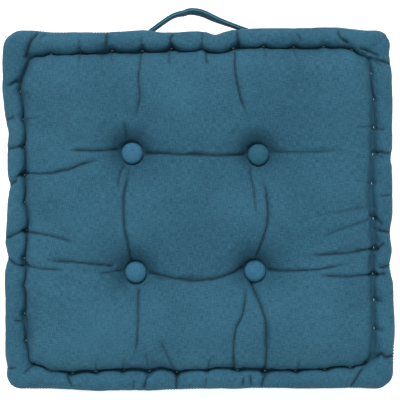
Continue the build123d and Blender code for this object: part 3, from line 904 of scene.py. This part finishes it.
class Surface:
    """Nearest points on a finished cover piece, in mm."""

    def __init__(self, obj):
        mesh = bmesh.new()
        mesh.from_mesh(obj.data)
        self.tree = BVHTree.FromBMesh(mesh)
        mesh.free()

    def nearest(self, point):
        """The surface's nearest place to a point, and its normal there."""
        place, normal, _, _ = self.tree.find_nearest(Vector(point) * MM)
        return np.array(place) / MM, np.array(normal)

    def below(self, x, y, from_z, down):
        """Where a line straight down, or up, first meets the surface, and its normal there."""
        way = Vector((0, 0, -1 if down else 1))
        place, normal, _, _ = self.tree.ray_cast(Vector((x, y, from_z)) * MM, way)
        return None if place is None else (np.array(place) / MM, np.array(normal))


def groove_spots(top):
    """Each stitch's place in the crown groove: x, y, direction along the side, half-length."""
    for name in SIDES:
        along_x = name in ("front", "back")
        half = HALF_Y if along_x else HALF_X
        sign = 1 if name in ("back", "right") else -1
        way = np.array((1.0, 0.0, 0.0) if along_x else (0.0, 1.0, 0.0))
        for place in STITCHES[name]:
            inset = float(smooth_table(GROOVE[name], np.array([place]))[0])
            if not top:
                inset = GROOVE_INSET + LOWER_GROOVE * (inset - GROOVE_INSET)
            out = sign * (half - inset)
            x, y = (place, out) if along_x else (out, place)
            yield x, y, way, THREAD_REACH[name]


def crown_threads(top, on_panel, random):
    """The thread that shows in the crown groove, at the lowest cloth near each stitch's place."""
    up = 1 if top else -1
    from_z = 120 if top else -40
    for x, y, way, reach in groove_spots(top):
        across = np.array((-way[1], way[0], 0.0))
        lowest = None
        for offset in np.linspace(-4, 4, 17):
            found = on_panel.below(*(np.array((x, y)) + across[:2] * offset), from_z, top)
            if found and (lowest is None or up * found[0][2] < up * lowest[2]):
                lowest = found[0]
        centre = lowest + np.array((0, 0, up * 0.4))
        lean = way + across * random.uniform(-0.35, 0.35)
        lean /= np.linalg.norm(lean)
        half = reach * random.uniform(0.8, 1.1)
        yield centre - lean * half, centre + lean * half, (0, 0, up * 0.5)


def side_threads(top, on_band, random):
    """The thread that shows in the side groove, under the roll."""
    side_z = TOP_ROLL_Z - 10.8 if top else BOTTOM_ROLL_Z + 10.8
    behind = BAND_INSET - 2
    for x, y, way, _ in groove_spots(top):
        if way[0]:
            probe = (x, math.copysign(HALF_Y - behind, y), side_z)
        else:
            probe = (math.copysign(HALF_X - behind, x), y, side_z)
        place, normal = on_band.nearest(probe)
        centre = place + normal * 0.3
        half = random.uniform(1.7, 2.3)
        yield centre - way * half, centre + way * half, tuple(normal * 0.4)


def make_roll_stitches(top, panel, band):
    """Thick pale thread showing in the crown groove and in the side groove under the roll."""
    random = np.random.default_rng(21 if top else 22)
    threads = list(crown_threads(top, Surface(panel), random))
    threads += list(side_threads(top, Surface(band), random))
    return threads_object("roll_stitches_" + ("top" if top else "bottom"), threads, 0.42)


def make_seam_thread(top):
    """The sewing machine's stitches along a seam."""
    z = roll_height(top)
    pitch, length = 3.2, 2.3
    side, t = [], []
    for number in range(4):
        run = 2 * (HALF_X if number % 2 == 0 else HALF_Y)
        count = int(run / pitch)
        side += [number] * (2 * count)
        for k in range(count):
            middle = (k + 0.5) / count
            reach = length / run / 2
            t += [-1 + 2 * (middle - reach), -1 + 2 * (middle + reach)]
    side, t = np.array(side), np.array(t)
    size = np.zeros(len(side))
    plan, outward = ring_points(side, t, HALF_X - size, HALF_Y - size, OUTER_CORNER - size)
    outline = by_side(side, plan, OUTLINE) * (1 if top else LOWER_OUTLINE)
    line = plan + outward * (outline - SEAM_DITCH - 0.05)[:, None]
    threads = []
    for k in range(0, len(side), 2):
        start = (*line[k], z)
        end = (*line[k + 1], z)
        threads.append((start, end, (*(outward[k] * 0.25), 0)))
    return threads_object("seam_thread_" + ("top" if top else "bottom"), threads, 0.3, 6, 4)


# ---- Buttons ---------------------------------------------------------------------------------------
# A button cloth's outer section as (radius, height), from behind the rim to the top.
BUTTON_SECTION = (
    (BUTTON_MOUTH, 0.15), (9.3, 0.0), (10.2, 0.3), (10.75, 1.0), (11.0, 2.2), (10.75, 3.2), (10.1, 4.1),
    (9.1, 4.85), (7.8, 5.45), (6.2, 5.95), (4.5, 6.25), (2.8, 6.42), (1.3, 6.49),
)
BUTTON_AROUND = 72  # points round a button


def outer_ring(r, z, phase):
    """One ring of a button's outside, pleated where the cloth is gathered in behind the rim."""
    gather = max(0.0, 1 - z / 3.6)
    ring = []
    for k in range(BUTTON_AROUND):
        angle = 2 * math.pi * k / BUTTON_AROUND
        pleat = 0.16 * math.sin(18 * angle + phase[0]) + 0.08 * math.sin(31 * angle + phase[1])
        wobble = 0.05 * math.sin(3 * angle + phase[2])
        radius = min(r + gather * pleat + wobble * (r / BUTTON_RADIUS), BUTTON_RADIUS + 0.1)
        ring.append((radius * math.cos(angle), radius * math.sin(angle), z))
    return ring


def inner_ring(r, z):
    """One plain ring of a button's inside."""
    angles = [2 * math.pi * k / BUTTON_AROUND for k in range(BUTTON_AROUND)]
    return [(r * math.cos(angle), r * math.sin(angle), z) for angle in angles]


def button_rings(phase):
    """A button cloth's rings, up its outside and down its inside. The two in the middle are points."""
    inner = []
    for r, z in BUTTON_SECTION:
        inner.append((max(r - BUTTON_CLOTH * 0.8, 0.6), max(z - BUTTON_CLOTH * 0.9, BUTTON_CLOTH)))
    inner[0] = (BUTTON_MOUTH, BUTTON_CLOTH)
    outside = [outer_ring(r, z, phase) for r, z in BUTTON_SECTION]
    inside = [inner_ring(r, z) for r, z in inner]
    return outside + [[(0, 0, BUTTON_HEIGHT)]] + [[(0, 0, BUTTON_HEIGHT - BUTTON_CLOTH)]] + inside[::-1]


def ring_faces(rings):
    """Faces between each ring and the next, and from the last to the first. A ring may be one point."""
    starts = np.cumsum([0] + [len(ring) for ring in rings]).tolist()
    faces = []
    for a in range(len(rings)):
        b = (a + 1) % len(rings)
        if len(rings[a]) == 1 and len(rings[b]) == 1:
            continue
        for k in range(BUTTON_AROUND):
            n = (k + 1) % BUTTON_AROUND
            first = [starts[a]] if len(rings[a]) == 1 else [starts[a] + k, starts[a] + n]
            second = [starts[b]] if len(rings[b]) == 1 else [starts[b] + n, starts[b] + k]
            faces.append(first + second)
    return faces


def make_button(side, where):
    """A button's cloth cover: a dome gathered in behind its rim, with the cloth's thickness."""
    top = side == "top"
    random = np.random.default_rng(sum(map(ord, side + where)))
    rings = button_rings(random.uniform(0, 2 * math.pi, 3))
    faces = ring_faces(rings)
    points = np.vstack([np.array(ring, float) for ring in rings])
    points[:, 2] *= 1 if top else -1
    points += np.array((*BUTTONS[where], TOP_BUTTON_Z if top else BOTTOM_BUTTON_Z))
    if not top:
        faces = [face[::-1] for face in faces]
    obj = new_object(f"button_cloth_{side}_{where}", points, faces)
    body = f"{side}_button_{where}"
    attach(obj, body)
    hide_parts(body + "_cover")
    return obj


# ---- Handle ----------------------------------------------------------------------------------------
# The strap's middle seen from above, from its left sewn end to its right one.
STRAP_LINE = (
    (-84, 178.65), (-74, 178.65), (-65, 178.9), (-58, 182.4), (-50, 188.6), (-40, 196), (-30, 202.8),
    (-22, 206.2), (-16, 207.2), (-10, 209.2), (-3, 208.9), (5, 206.9), (16, 202), (26, 198), (34, 195.2),
    (44, 191.4), (54, 187.8), (65, 183), (75, 179.6), (84, 178.65), (92, 178.65), (100, 178.65),
)
STRAP_HALF_HEIGHT = 9.0
STRAP_HALF_THICK = 1.5
STRAP_Z = 40.0
STRAP_TWIST = math.radians(-4)


def strap_frames(step):
    """Centre, sideways and upward directions along the strap, twisted where it stands free."""
    line = through(STRAP_LINE, step)
    ahead = np.gradient(line, axis=0)
    ahead /= np.linalg.norm(ahead, axis=1)[:, None]
    distance = np.concatenate([[0], np.cumsum(np.linalg.norm(np.diff(line, axis=0), axis=1))])
    total = distance[-1]
    free = ease((distance - 42) / 45) * ease((total - 42 - distance) / 50)
    twist = STRAP_TWIST * free * (1 + 1.1 * np.sin(distance / total * 16))
    frames = []
    for (x, y), (ax, ay), angle, s in zip(line, ahead, twist, distance):
        across = np.array((-ay, ax, 0.0))
        side = across * math.cos(angle) + np.array((0, 0, math.sin(angle)))
        upright = np.array((0, 0, math.cos(angle))) - across * math.sin(angle)
        frames.append((np.array((x, y, STRAP_Z)), side, upright, s))
    return frames


def strap_section():
    """Half-thickness and height of the folded strap's outline: two plies with a slit along each edge."""
    thick, high = STRAP_HALF_THICK, STRAP_HALF_HEIGHT
    quarter = [
        (0.12, high - 1.1), (0.3, high - 0.35), (0.75, high), (1.2, high - 0.15), (1.45, high - 0.7),
        (thick, high - 1.6), (thick - 0.22, high - 2.6), (thick, high - 3.8), (thick - 0.02, high - 6.2),
    ]
    right = quarter + [(x, -z) for x, z in quarter[::-1]]
    return right + [(-x, -z) for x, z in right]


def make_strap():
    """The handle: one folded strap, sewn flat at both ends, with paler rubbed edges that also carry a
    painted highlight.
    """
    section = strap_section()
    random = np.random.default_rng(31)
    frames = strap_frames(1.3)
    wave = random.uniform(0, 2 * math.pi, 4)
    points = []
    for centre, side, upright, s in frames:
        sway = 0.12 * math.sin(s / 7 + wave[0]) + 0.1 * math.sin(s / 13 + wave[1])
        for x, z in section:
            ruck = 0.12 * math.sin(s / 3.1 + wave[2] + z) * (abs(x) > 1)
            points.append(centre + side * (x + math.copysign(ruck, x) * 0.5) + upright * (z + sway))
    count = len(section)
    faces = tube_faces(len(frames), count)
    for start, turn in ((0, -1), ((len(frames) - 1) * count, 1)):
        face = [start + k for k in range(count)]
        faces.append(face[::turn])
    obj = new_object("handle_strap", points, faces)
    bm = bmesh.new()
    bm.from_mesh(obj.data)
    bmesh.ops.triangulate(bm, faces=[f for f in bm.faces if len(f.verts) > 4])
    bmesh.ops.recalc_face_normals(bm, faces=bm.faces)
    bm.to_mesh(obj.data)
    bm.free()
    # paler rubbed edges with a painted highlight, stronger on the ply towards the cushion
    worn_and_highlit = [(0.8 if x < 0 else 0.25) * (abs(z) > STRAP_HALF_HEIGHT - 0.4) for x, z in section]
    wear_and_highlight = obj.data.attributes.new("wear_and_highlight", "FLOAT", "POINT")
    wear_and_highlight.data.foreach_set("value", np.tile(worn_and_highlit, len(frames)).astype(np.float32))
    return obj


def make_strap_stitches():
    """Two rows of top stitching along both faces of the strap."""
    frames = strap_frames(0.5)
    distance = np.array([f[3] for f in frames])
    threads = []
    pitch, length = 3.6, 2.5
    for start in np.arange(4, distance[-1] - 6, pitch):
        a = frames[int(np.searchsorted(distance, start))]
        b = frames[int(np.searchsorted(distance, start + length))]
        for face in (-1, 1):
            for edge in (-1, 1):
                out = face * (STRAP_HALF_THICK - 0.02)
                height = edge * (STRAP_HALF_HEIGHT - 2.6)
                p = a[0] + a[1] * out + a[2] * height
                q = b[0] + b[1] * out + b[2] * height
                threads.append((p, q, tuple(a[1] * face * 0.12)))
    return threads_object("handle_top_stitching", threads, 0.28, 6, 4)


def make_box_stitches():
    """A square of stitches through each sewn end of the strap."""
    face_y = 180.25  # the outer face of the sewn ends
    half, pitch, length = 5.5, 3.6, 2.6
    end_middles = (-72.5, 88.5)
    threads = []
    for middle in end_middles:
        for k in (-1, 0, 1):
            for edge in (-half, half):
                level = np.array((middle + k * pitch, face_y, STRAP_Z + edge))
                upright = np.array((middle + edge, face_y, STRAP_Z + k * pitch))
                for centre, way in ((level, (length / 2, 0, 0)), (upright, (0, 0, length / 2))):
                    threads.append((centre - np.array(way), centre + np.array(way), (0, 0.25, 0)))
    return threads_object("handle_box_stitches", threads, 0.33, 8, 6)


# ---- Filling ---------------------------------------------------------------------------------------
def make_filling():
    """The fibre filling: one closed lumpy form a few millimetres inside the cover."""
    bm = bmesh.new()
    ring, side, t = panel_grid()
    meshes = []
    for top in (True, False):
        form, _, _ = cover_form(ring, side, t, top)
        meshes.append((form, panel_faces(top)))
    rows, _ = band_form()
    meshes.append((np.vstack(rows), band_faces(len(rows), len(rows[0]))))
    for points, faces in meshes:
        vertices = [bm.verts.new(p) for p in points * MM]
        for face in faces:
            bm.faces.new([vertices[int(k)] for k in face])
    bmesh.ops.remove_doubles(bm, verts=bm.verts, dist=0.0002)
    bmesh.ops.recalc_face_normals(bm, faces=bm.faces)
    mesh = bpy.data.meshes.new("fibre_filling")
    bm.to_mesh(mesh)
    bm.free()
    obj = add_object("fibre_filling", mesh)
    points, normals = mesh_points(mesh), mesh_normals(mesh)
    fluff = 0.5 * ripples(points, 9, 14, np.random.default_rng(41))
    set_points(obj, points - normals * (FILLING_DEPTH + fluff)[:, None])
    mesh.polygons.foreach_set("use_smooth", [True] * len(mesh.polygons))
    return obj


# ---- Materials -------------------------------------------------------------------------------------
class Nodes:
    """A short way to add shader nodes and join them."""

    def __init__(self, name):
        self.material = bpy.data.materials.new(name)
        self.material.use_nodes = True
        self.tree = self.material.node_tree
        self.shader = self.tree.nodes["Principled BSDF"]

    def add(self, kind, values=None, **settings):
        """A new node, with values for its sockets and settings of its own."""
        node = self.tree.nodes.new(kind)
        for key, value in settings.items():
            setattr(node, key, value)
        for key, value in (values or {}).items():
            self.set(node.inputs[key], value)
        return node

    def set(self, socket, value):
        """Join another node's socket to this one, or put a constant on it."""
        if isinstance(value, bpy.types.NodeSocket):
            self.tree.links.new(value, socket)
        else:
            socket.default_value = value

    def maths(self, operation, a, b=0.0, clamp=False):
        """The result of one calculation with two values."""
        node = self.add("ShaderNodeMath", operation=operation, use_clamp=clamp)
        self.set(node.inputs[0], a)
        self.set(node.inputs[1], b)
        return node.outputs[0]

    def plus(self, a, b, clamp=False):
        return self.maths("ADD", a, b, clamp)

    def minus(self, a, b):
        return self.maths("SUBTRACT", a, b)

    def times(self, a, b):
        return self.maths("MULTIPLY", a, b)

    def mix(self, share, a, b):
        """A colour between two colours."""
        node = self.add("ShaderNodeMix", data_type="RGBA")
        self.set(node.inputs["Factor"], share)
        self.set(node.inputs["A"], a)
        self.set(node.inputs["B"], b)
        return node.outputs["Result"]

    def join(self, x, y, z=0.0):
        """A vector from three values."""
        node = self.add("ShaderNodeCombineXYZ")
        for socket, value in zip(node.inputs, (x, y, z)):
            self.set(socket, value)
        return node.outputs[0]

    def split(self, vector):
        """The three values of a vector."""
        return self.add("ShaderNodeSeparateXYZ", {"Vector": vector}).outputs

    def place(self):
        """The point's place on the object."""
        return self.add("ShaderNodeTexCoord").outputs["Object"]

    def stretched(self, vector, scale):
        """A place scaled by a different amount in each direction."""
        return self.add("ShaderNodeMapping", {"Vector": vector, "Scale": scale}).outputs[0]

    def mark(self, name):
        """The value of a mesh attribute."""
        return self.add("ShaderNodeAttribute", attribute_name=name).outputs["Fac"]

    def noise(self, vector, scale, detail=2.0, roughness=0.5):
        """Soft random spots."""
        values = {"Vector": vector, "Scale": scale, "Detail": detail, "Roughness": roughness}
        return self.add("ShaderNodeTexNoise", values).outputs[0]

    def finish(self, colour, rough, height, strength, distance, **constants):
        """Join colour, roughness and relief to the shader, and put constants on its other sockets."""
        relief = self.add("ShaderNodeBump", {"Strength": strength, "Distance": distance, "Height": height})
        self.set(self.shader.inputs["Base Color"], colour)
        self.set(self.shader.inputs["Roughness"], rough)
        self.set(self.shader.inputs["Normal"], relief.outputs[0])
        for name, value in constants.items():
            self.shader.inputs[name.replace("_", " ")].default_value = value
        return self.material


def cloth_directions(n, place):
    """Coordinates along the two thread directions, in metres, on whichever face the cloth turns."""
    x, y, z = n.split(place)
    facing = n.add("ShaderNodeNewGeometry").outputs["Normal"]
    nx, ny, nz = (n.maths("ABSOLUTE", value) for value in n.split(facing))
    upright = n.maths("LESS_THAN", nz, 0.6)
    sideways = n.times(upright, n.maths("GREATER_THAN", nx, ny))
    u = n.plus(n.times(x, n.minus(1.0, sideways)), n.times(y, sideways))
    v = n.plus(n.times(y, n.minus(1.0, upright)), n.times(z, upright))
    return u, v


def woven(name, dark, light, sheen=0.08):
    """Plain-woven cotton: crossing threads with thick and thin places, painted shade in folds, grooves and
    button dimples, and paler rubbed edges that also carry a painted highlight.
    """
    thread = 0.00078
    long, fine = 170.0, 1350.0  # a thick place's grain along its thread and across it
    n = Nodes(name)
    place = n.place()
    u, v = cloth_directions(n, place)
    over = n.maths("SINE", n.times(u, math.pi / thread))
    under = n.maths("SINE", n.times(v, math.pi / thread))
    weave = n.times(over, under)
    weft = n.noise(n.join(n.times(u, long), n.times(v, fine)), 1.0, 1.5)
    warp = n.noise(n.join(n.times(u, fine), n.times(v, long), 7.0), 1.0, 1.5)
    slub = n.plus(weft, warp)
    uneven = n.minus(slub, 1.0)
    grain = n.noise(place, 900.0, 2.0)
    patches = n.noise(place, 14.0, 3.0, 0.55)
    share = n.plus(n.times(uneven, 1.75), 0.5)
    share = n.plus(share, n.times(weave, 0.10))
    share = n.plus(share, n.times(n.minus(patches, 0.5), 1.0))
    share = n.plus(share, n.times(n.minus(grain, 0.5), 0.2), clamp=True)
    fold_shade_colour = (*[0.22 * value for value in dark], 1)
    worn_and_highlit = (*[1.9 * value for value in light], 1)
    colour = n.mix(share, (*dark, 1), (*light, 1))
    # painted shade: darker where the fold attribute marks a fold, groove or button dimple
    colour = n.mix(n.times(n.mark("fold"), 0.92), colour, fold_shade_colour)
    # paler rubbed edges with a painted highlight, where the strap marks them
    colour = n.mix(n.mark("wear_and_highlight"), colour, worn_and_highlit)
    rough = n.plus(n.times(uneven, 0.25), 0.86, clamp=True)
    height = n.plus(n.plus(n.times(weave, 0.5), n.times(slub, 1.2)), n.times(grain, 0.6))
    return n.finish(colour, rough, height, 0.35, 0.0004, Specular_IOR_Level=0.22, Sheen_Weight=sheen,
                    Sheen_Roughness=0.45, Sheen_Tint=(0.26, 0.572, 0.78, 1))


def yarn(name, dark, light, twist=0.0016):
    """Twisted thread or twine: slanting plies and loose fibres."""
    n = Nodes(name)
    place = n.place()
    x, y, z = n.split(place)
    slant = n.plus(n.plus(x, y), n.times(z, 1.3))
    plies = n.maths("SINE", n.times(slant, 2 * math.pi / twist))
    fibres = n.noise(place, 2200.0, 3.0, 0.6)
    share = n.plus(n.times(plies, 0.3), fibres, clamp=True)
    rough = n.plus(n.times(fibres, 0.2), 0.6, clamp=True)
    height = n.plus(n.times(plies, 0.6), fibres)
    colour = n.mix(share, (*dark, 1), (*light, 1))
    return n.finish(colour, rough, height, 0.5, 0.0002, Sheen_Weight=0.15)


def metal(name):
    """Tinned steel of the button shells and wire eyes, dulled and finely scratched."""
    n = Nodes(name)
    place = n.place()
    spots = n.noise(place, 420.0, 4.0, 0.6)
    scratches = n.noise(n.stretched(place, (300, 2600, 900)), 1.0)
    colour = n.mix(spots, (0.42, 0.43, 0.44, 1), (0.62, 0.62, 0.60, 1))
    rough = n.plus(n.times(spots, 0.25), 0.25)
    return n.finish(colour, rough, scratches, 0.15, 0.0001, Metallic=1.0)


def fibre(name):
    """Matted cotton and polyester fibre."""
    n = Nodes(name)
    place = n.place()
    tufts = n.noise(place, 120.0, 5.0, 0.65)
    hairs = n.noise(n.stretched(place, (1600, 260, 700)), 1.0, 3.0)
    colour = n.mix(tufts, (0.62, 0.60, 0.55, 1), (0.86, 0.85, 0.81, 1))
    rough = n.plus(n.times(hairs, 0.1), 0.88, clamp=True)
    height = n.plus(tufts, n.times(hairs, 0.5))
    return n.finish(colour, rough, height, 0.6, 0.001, Sheen_Weight=0.3)


def dress(obj, material):
    """Give the object this material alone."""
    obj.data.materials.clear()
    obj.data.materials.append(material)


def finish_cad(node, material):
    """Give a carried-over CAD node this material in every slot."""
    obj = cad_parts[node]
    if not obj.material_slots:
        obj.data.materials.append(material)
    for slot in obj.material_slots:
        slot.material = material


# ---- Camera, light and floor -----------------------------------------------------------------------
def make_camera():
    """Straight above, with the handle at the top of the picture."""
    data = bpy.data.cameras.new("camera")
    data.lens = 100
    data.sensor_width = 36
    obj = add_object("camera", data)
    obj.location = (0.0015, 0.0100, 1.2146)
    bpy.context.scene.camera = obj


def add_sun(name, place, strength, spread):
    """A far, soft light that shines from place towards the cushion."""
    data = bpy.data.lights.new(name, "SUN")
    data.energy = strength
    data.angle = math.radians(spread)
    obj = add_object(name, data)
    obj.location = place
    obj.rotation_euler = (-Vector(place)).to_track_quat("-Z", "Y").to_euler()


def make_floor():
    """A wide near-white floor that also glows a little, so that it shows white."""
    reach = 4000
    corners = [(-reach, -reach, 0), (reach, -reach, 0), (reach, reach, 0), (-reach, reach, 0)]
    floor = new_object("floor", corners, [(0, 1, 2, 3)])
    n = Nodes("floor")
    speck = n.noise(n.place(), 30.0, 2.0)
    n.set(n.shader.inputs["Base Color"], n.mix(speck, (0.93, 0.93, 0.93, 1), (0.95, 0.95, 0.95, 1)))
    n.shader.inputs["Roughness"].default_value = 0.9
    n.shader.inputs["Emission Color"].default_value = (1, 1, 1, 1)
    n.shader.inputs["Emission Strength"].default_value = 0.52
    dress(floor, n.material)


def make_studio():
    """Soft light, mostly from the back, over a near-white floor."""
    scene = bpy.context.scene
    scene.view_settings.view_transform = "Standard"
    world = bpy.data.worlds.new("studio")
    scene.world = world
    world.use_nodes = True
    background = world.node_tree.nodes["Background"]
    background.inputs["Color"].default_value = (0.96, 0.98, 1.0, 1)
    background.inputs["Strength"].default_value = 0.41
    add_sun("key", (-0.25, 1.6, 1.62), 2.33, 26)
    add_sun("fill", (0.3, -1.6, 1.7), 0.95, 60)
    make_floor()


# ---- Put together ----------------------------------------------------------------------------------
def ride_root(obj, slot, *nodes):
    """Fix a piece to the cushion, and hide the nodes that it stands for. The slot is not used."""
    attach(obj, "root_cushion")
    if nodes:
        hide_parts(*nodes)
    return obj


make_camera()
make_studio()

PETROL_DARK = (0.0165, 0.0730, 0.1180)
PETROL_LIGHT = (0.0395, 0.1480, 0.2220)
cover_cloth = woven("petrol cover cloth", PETROL_DARK, PETROL_LIGHT)
strap_cloth = woven("petrol strap cloth", (0.019, 0.081, 0.112), (0.045, 0.163, 0.212), sheen=0.15)
button_cloths = {
    "back_left": woven("button cloth back left", (0.030, 0.116, 0.194), (0.052, 0.196, 0.308)),
    "back_right": woven("button cloth back right", (0.018, 0.087, 0.130), (0.034, 0.148, 0.210)),
    "front_left": woven("button cloth front left", (0.027, 0.106, 0.175), (0.047, 0.178, 0.278)),
    "front_right": woven("button cloth front right", (0.024, 0.102, 0.172), (0.042, 0.174, 0.275)),
}
pale_thread = yarn("pale stitching thread", (0.34, 0.48, 0.49), (0.64, 0.77, 0.77))
petrol_thread = yarn("petrol sewing thread", (0.03, 0.09, 0.12), (0.08, 0.20, 0.25), twist=0.0007)
tuft_twine = yarn("tufting twine", (0.50, 0.44, 0.32), (0.78, 0.72, 0.58), twist=0.0022)
tin = metal("tinned steel")
fibre_mat = fibre("cotton fibre")

panels = {}
for top in (True, False):
    panels[top] = ride_root(make_panel(top), "cover_fabric", "top_panel" if top else "bottom_panel")
    dress(panels[top], cover_cloth)
band = ride_root(make_band(), "cover_fabric", "side_band")
dress(band, cover_cloth)

FILLING_NODES = ("filling_core", "filling_top_roll", "filling_bottom_roll")
filling = ride_root(make_filling(), "fibre_filling", *FILLING_NODES)
dress(filling, fibre_mat)

for top in (True, False):
    word = "top" if top else "bottom"
    stitches = make_roll_stitches(top, panels[top], band)
    dress(ride_root(stitches, "roll_thread", word + "_roll_stitches"), pale_thread)
    seam = make_seam_thread(top)
    dress(ride_root(seam, "seam_thread", word + "_seam_thread"), petrol_thread)

for side in ("top", "bottom"):
    for where in BUTTONS:
        dress(make_button(side, where), button_cloths[where])
        for part in ("shell", "back", "eye"):
            finish_cad(f"{side}_button_{where}_{part}", tin)
for where in BUTTONS:
    finish_cad(f"tuft_twine_{where}", tuft_twine)

strap = make_strap()
dress(strap, strap_cloth)
strap_stitches = make_strap_stitches()
dress(strap_stitches, petrol_thread)
for piece, slot in ((strap, "handle_fabric"), (strap_stitches, "seam_thread")):
    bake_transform(piece)
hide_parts("handle_loop", "handle_end_left", "handle_end_right")
dress(ride_root(make_box_stitches(), "seam_thread", "handle_stitches"), petrol_thread)
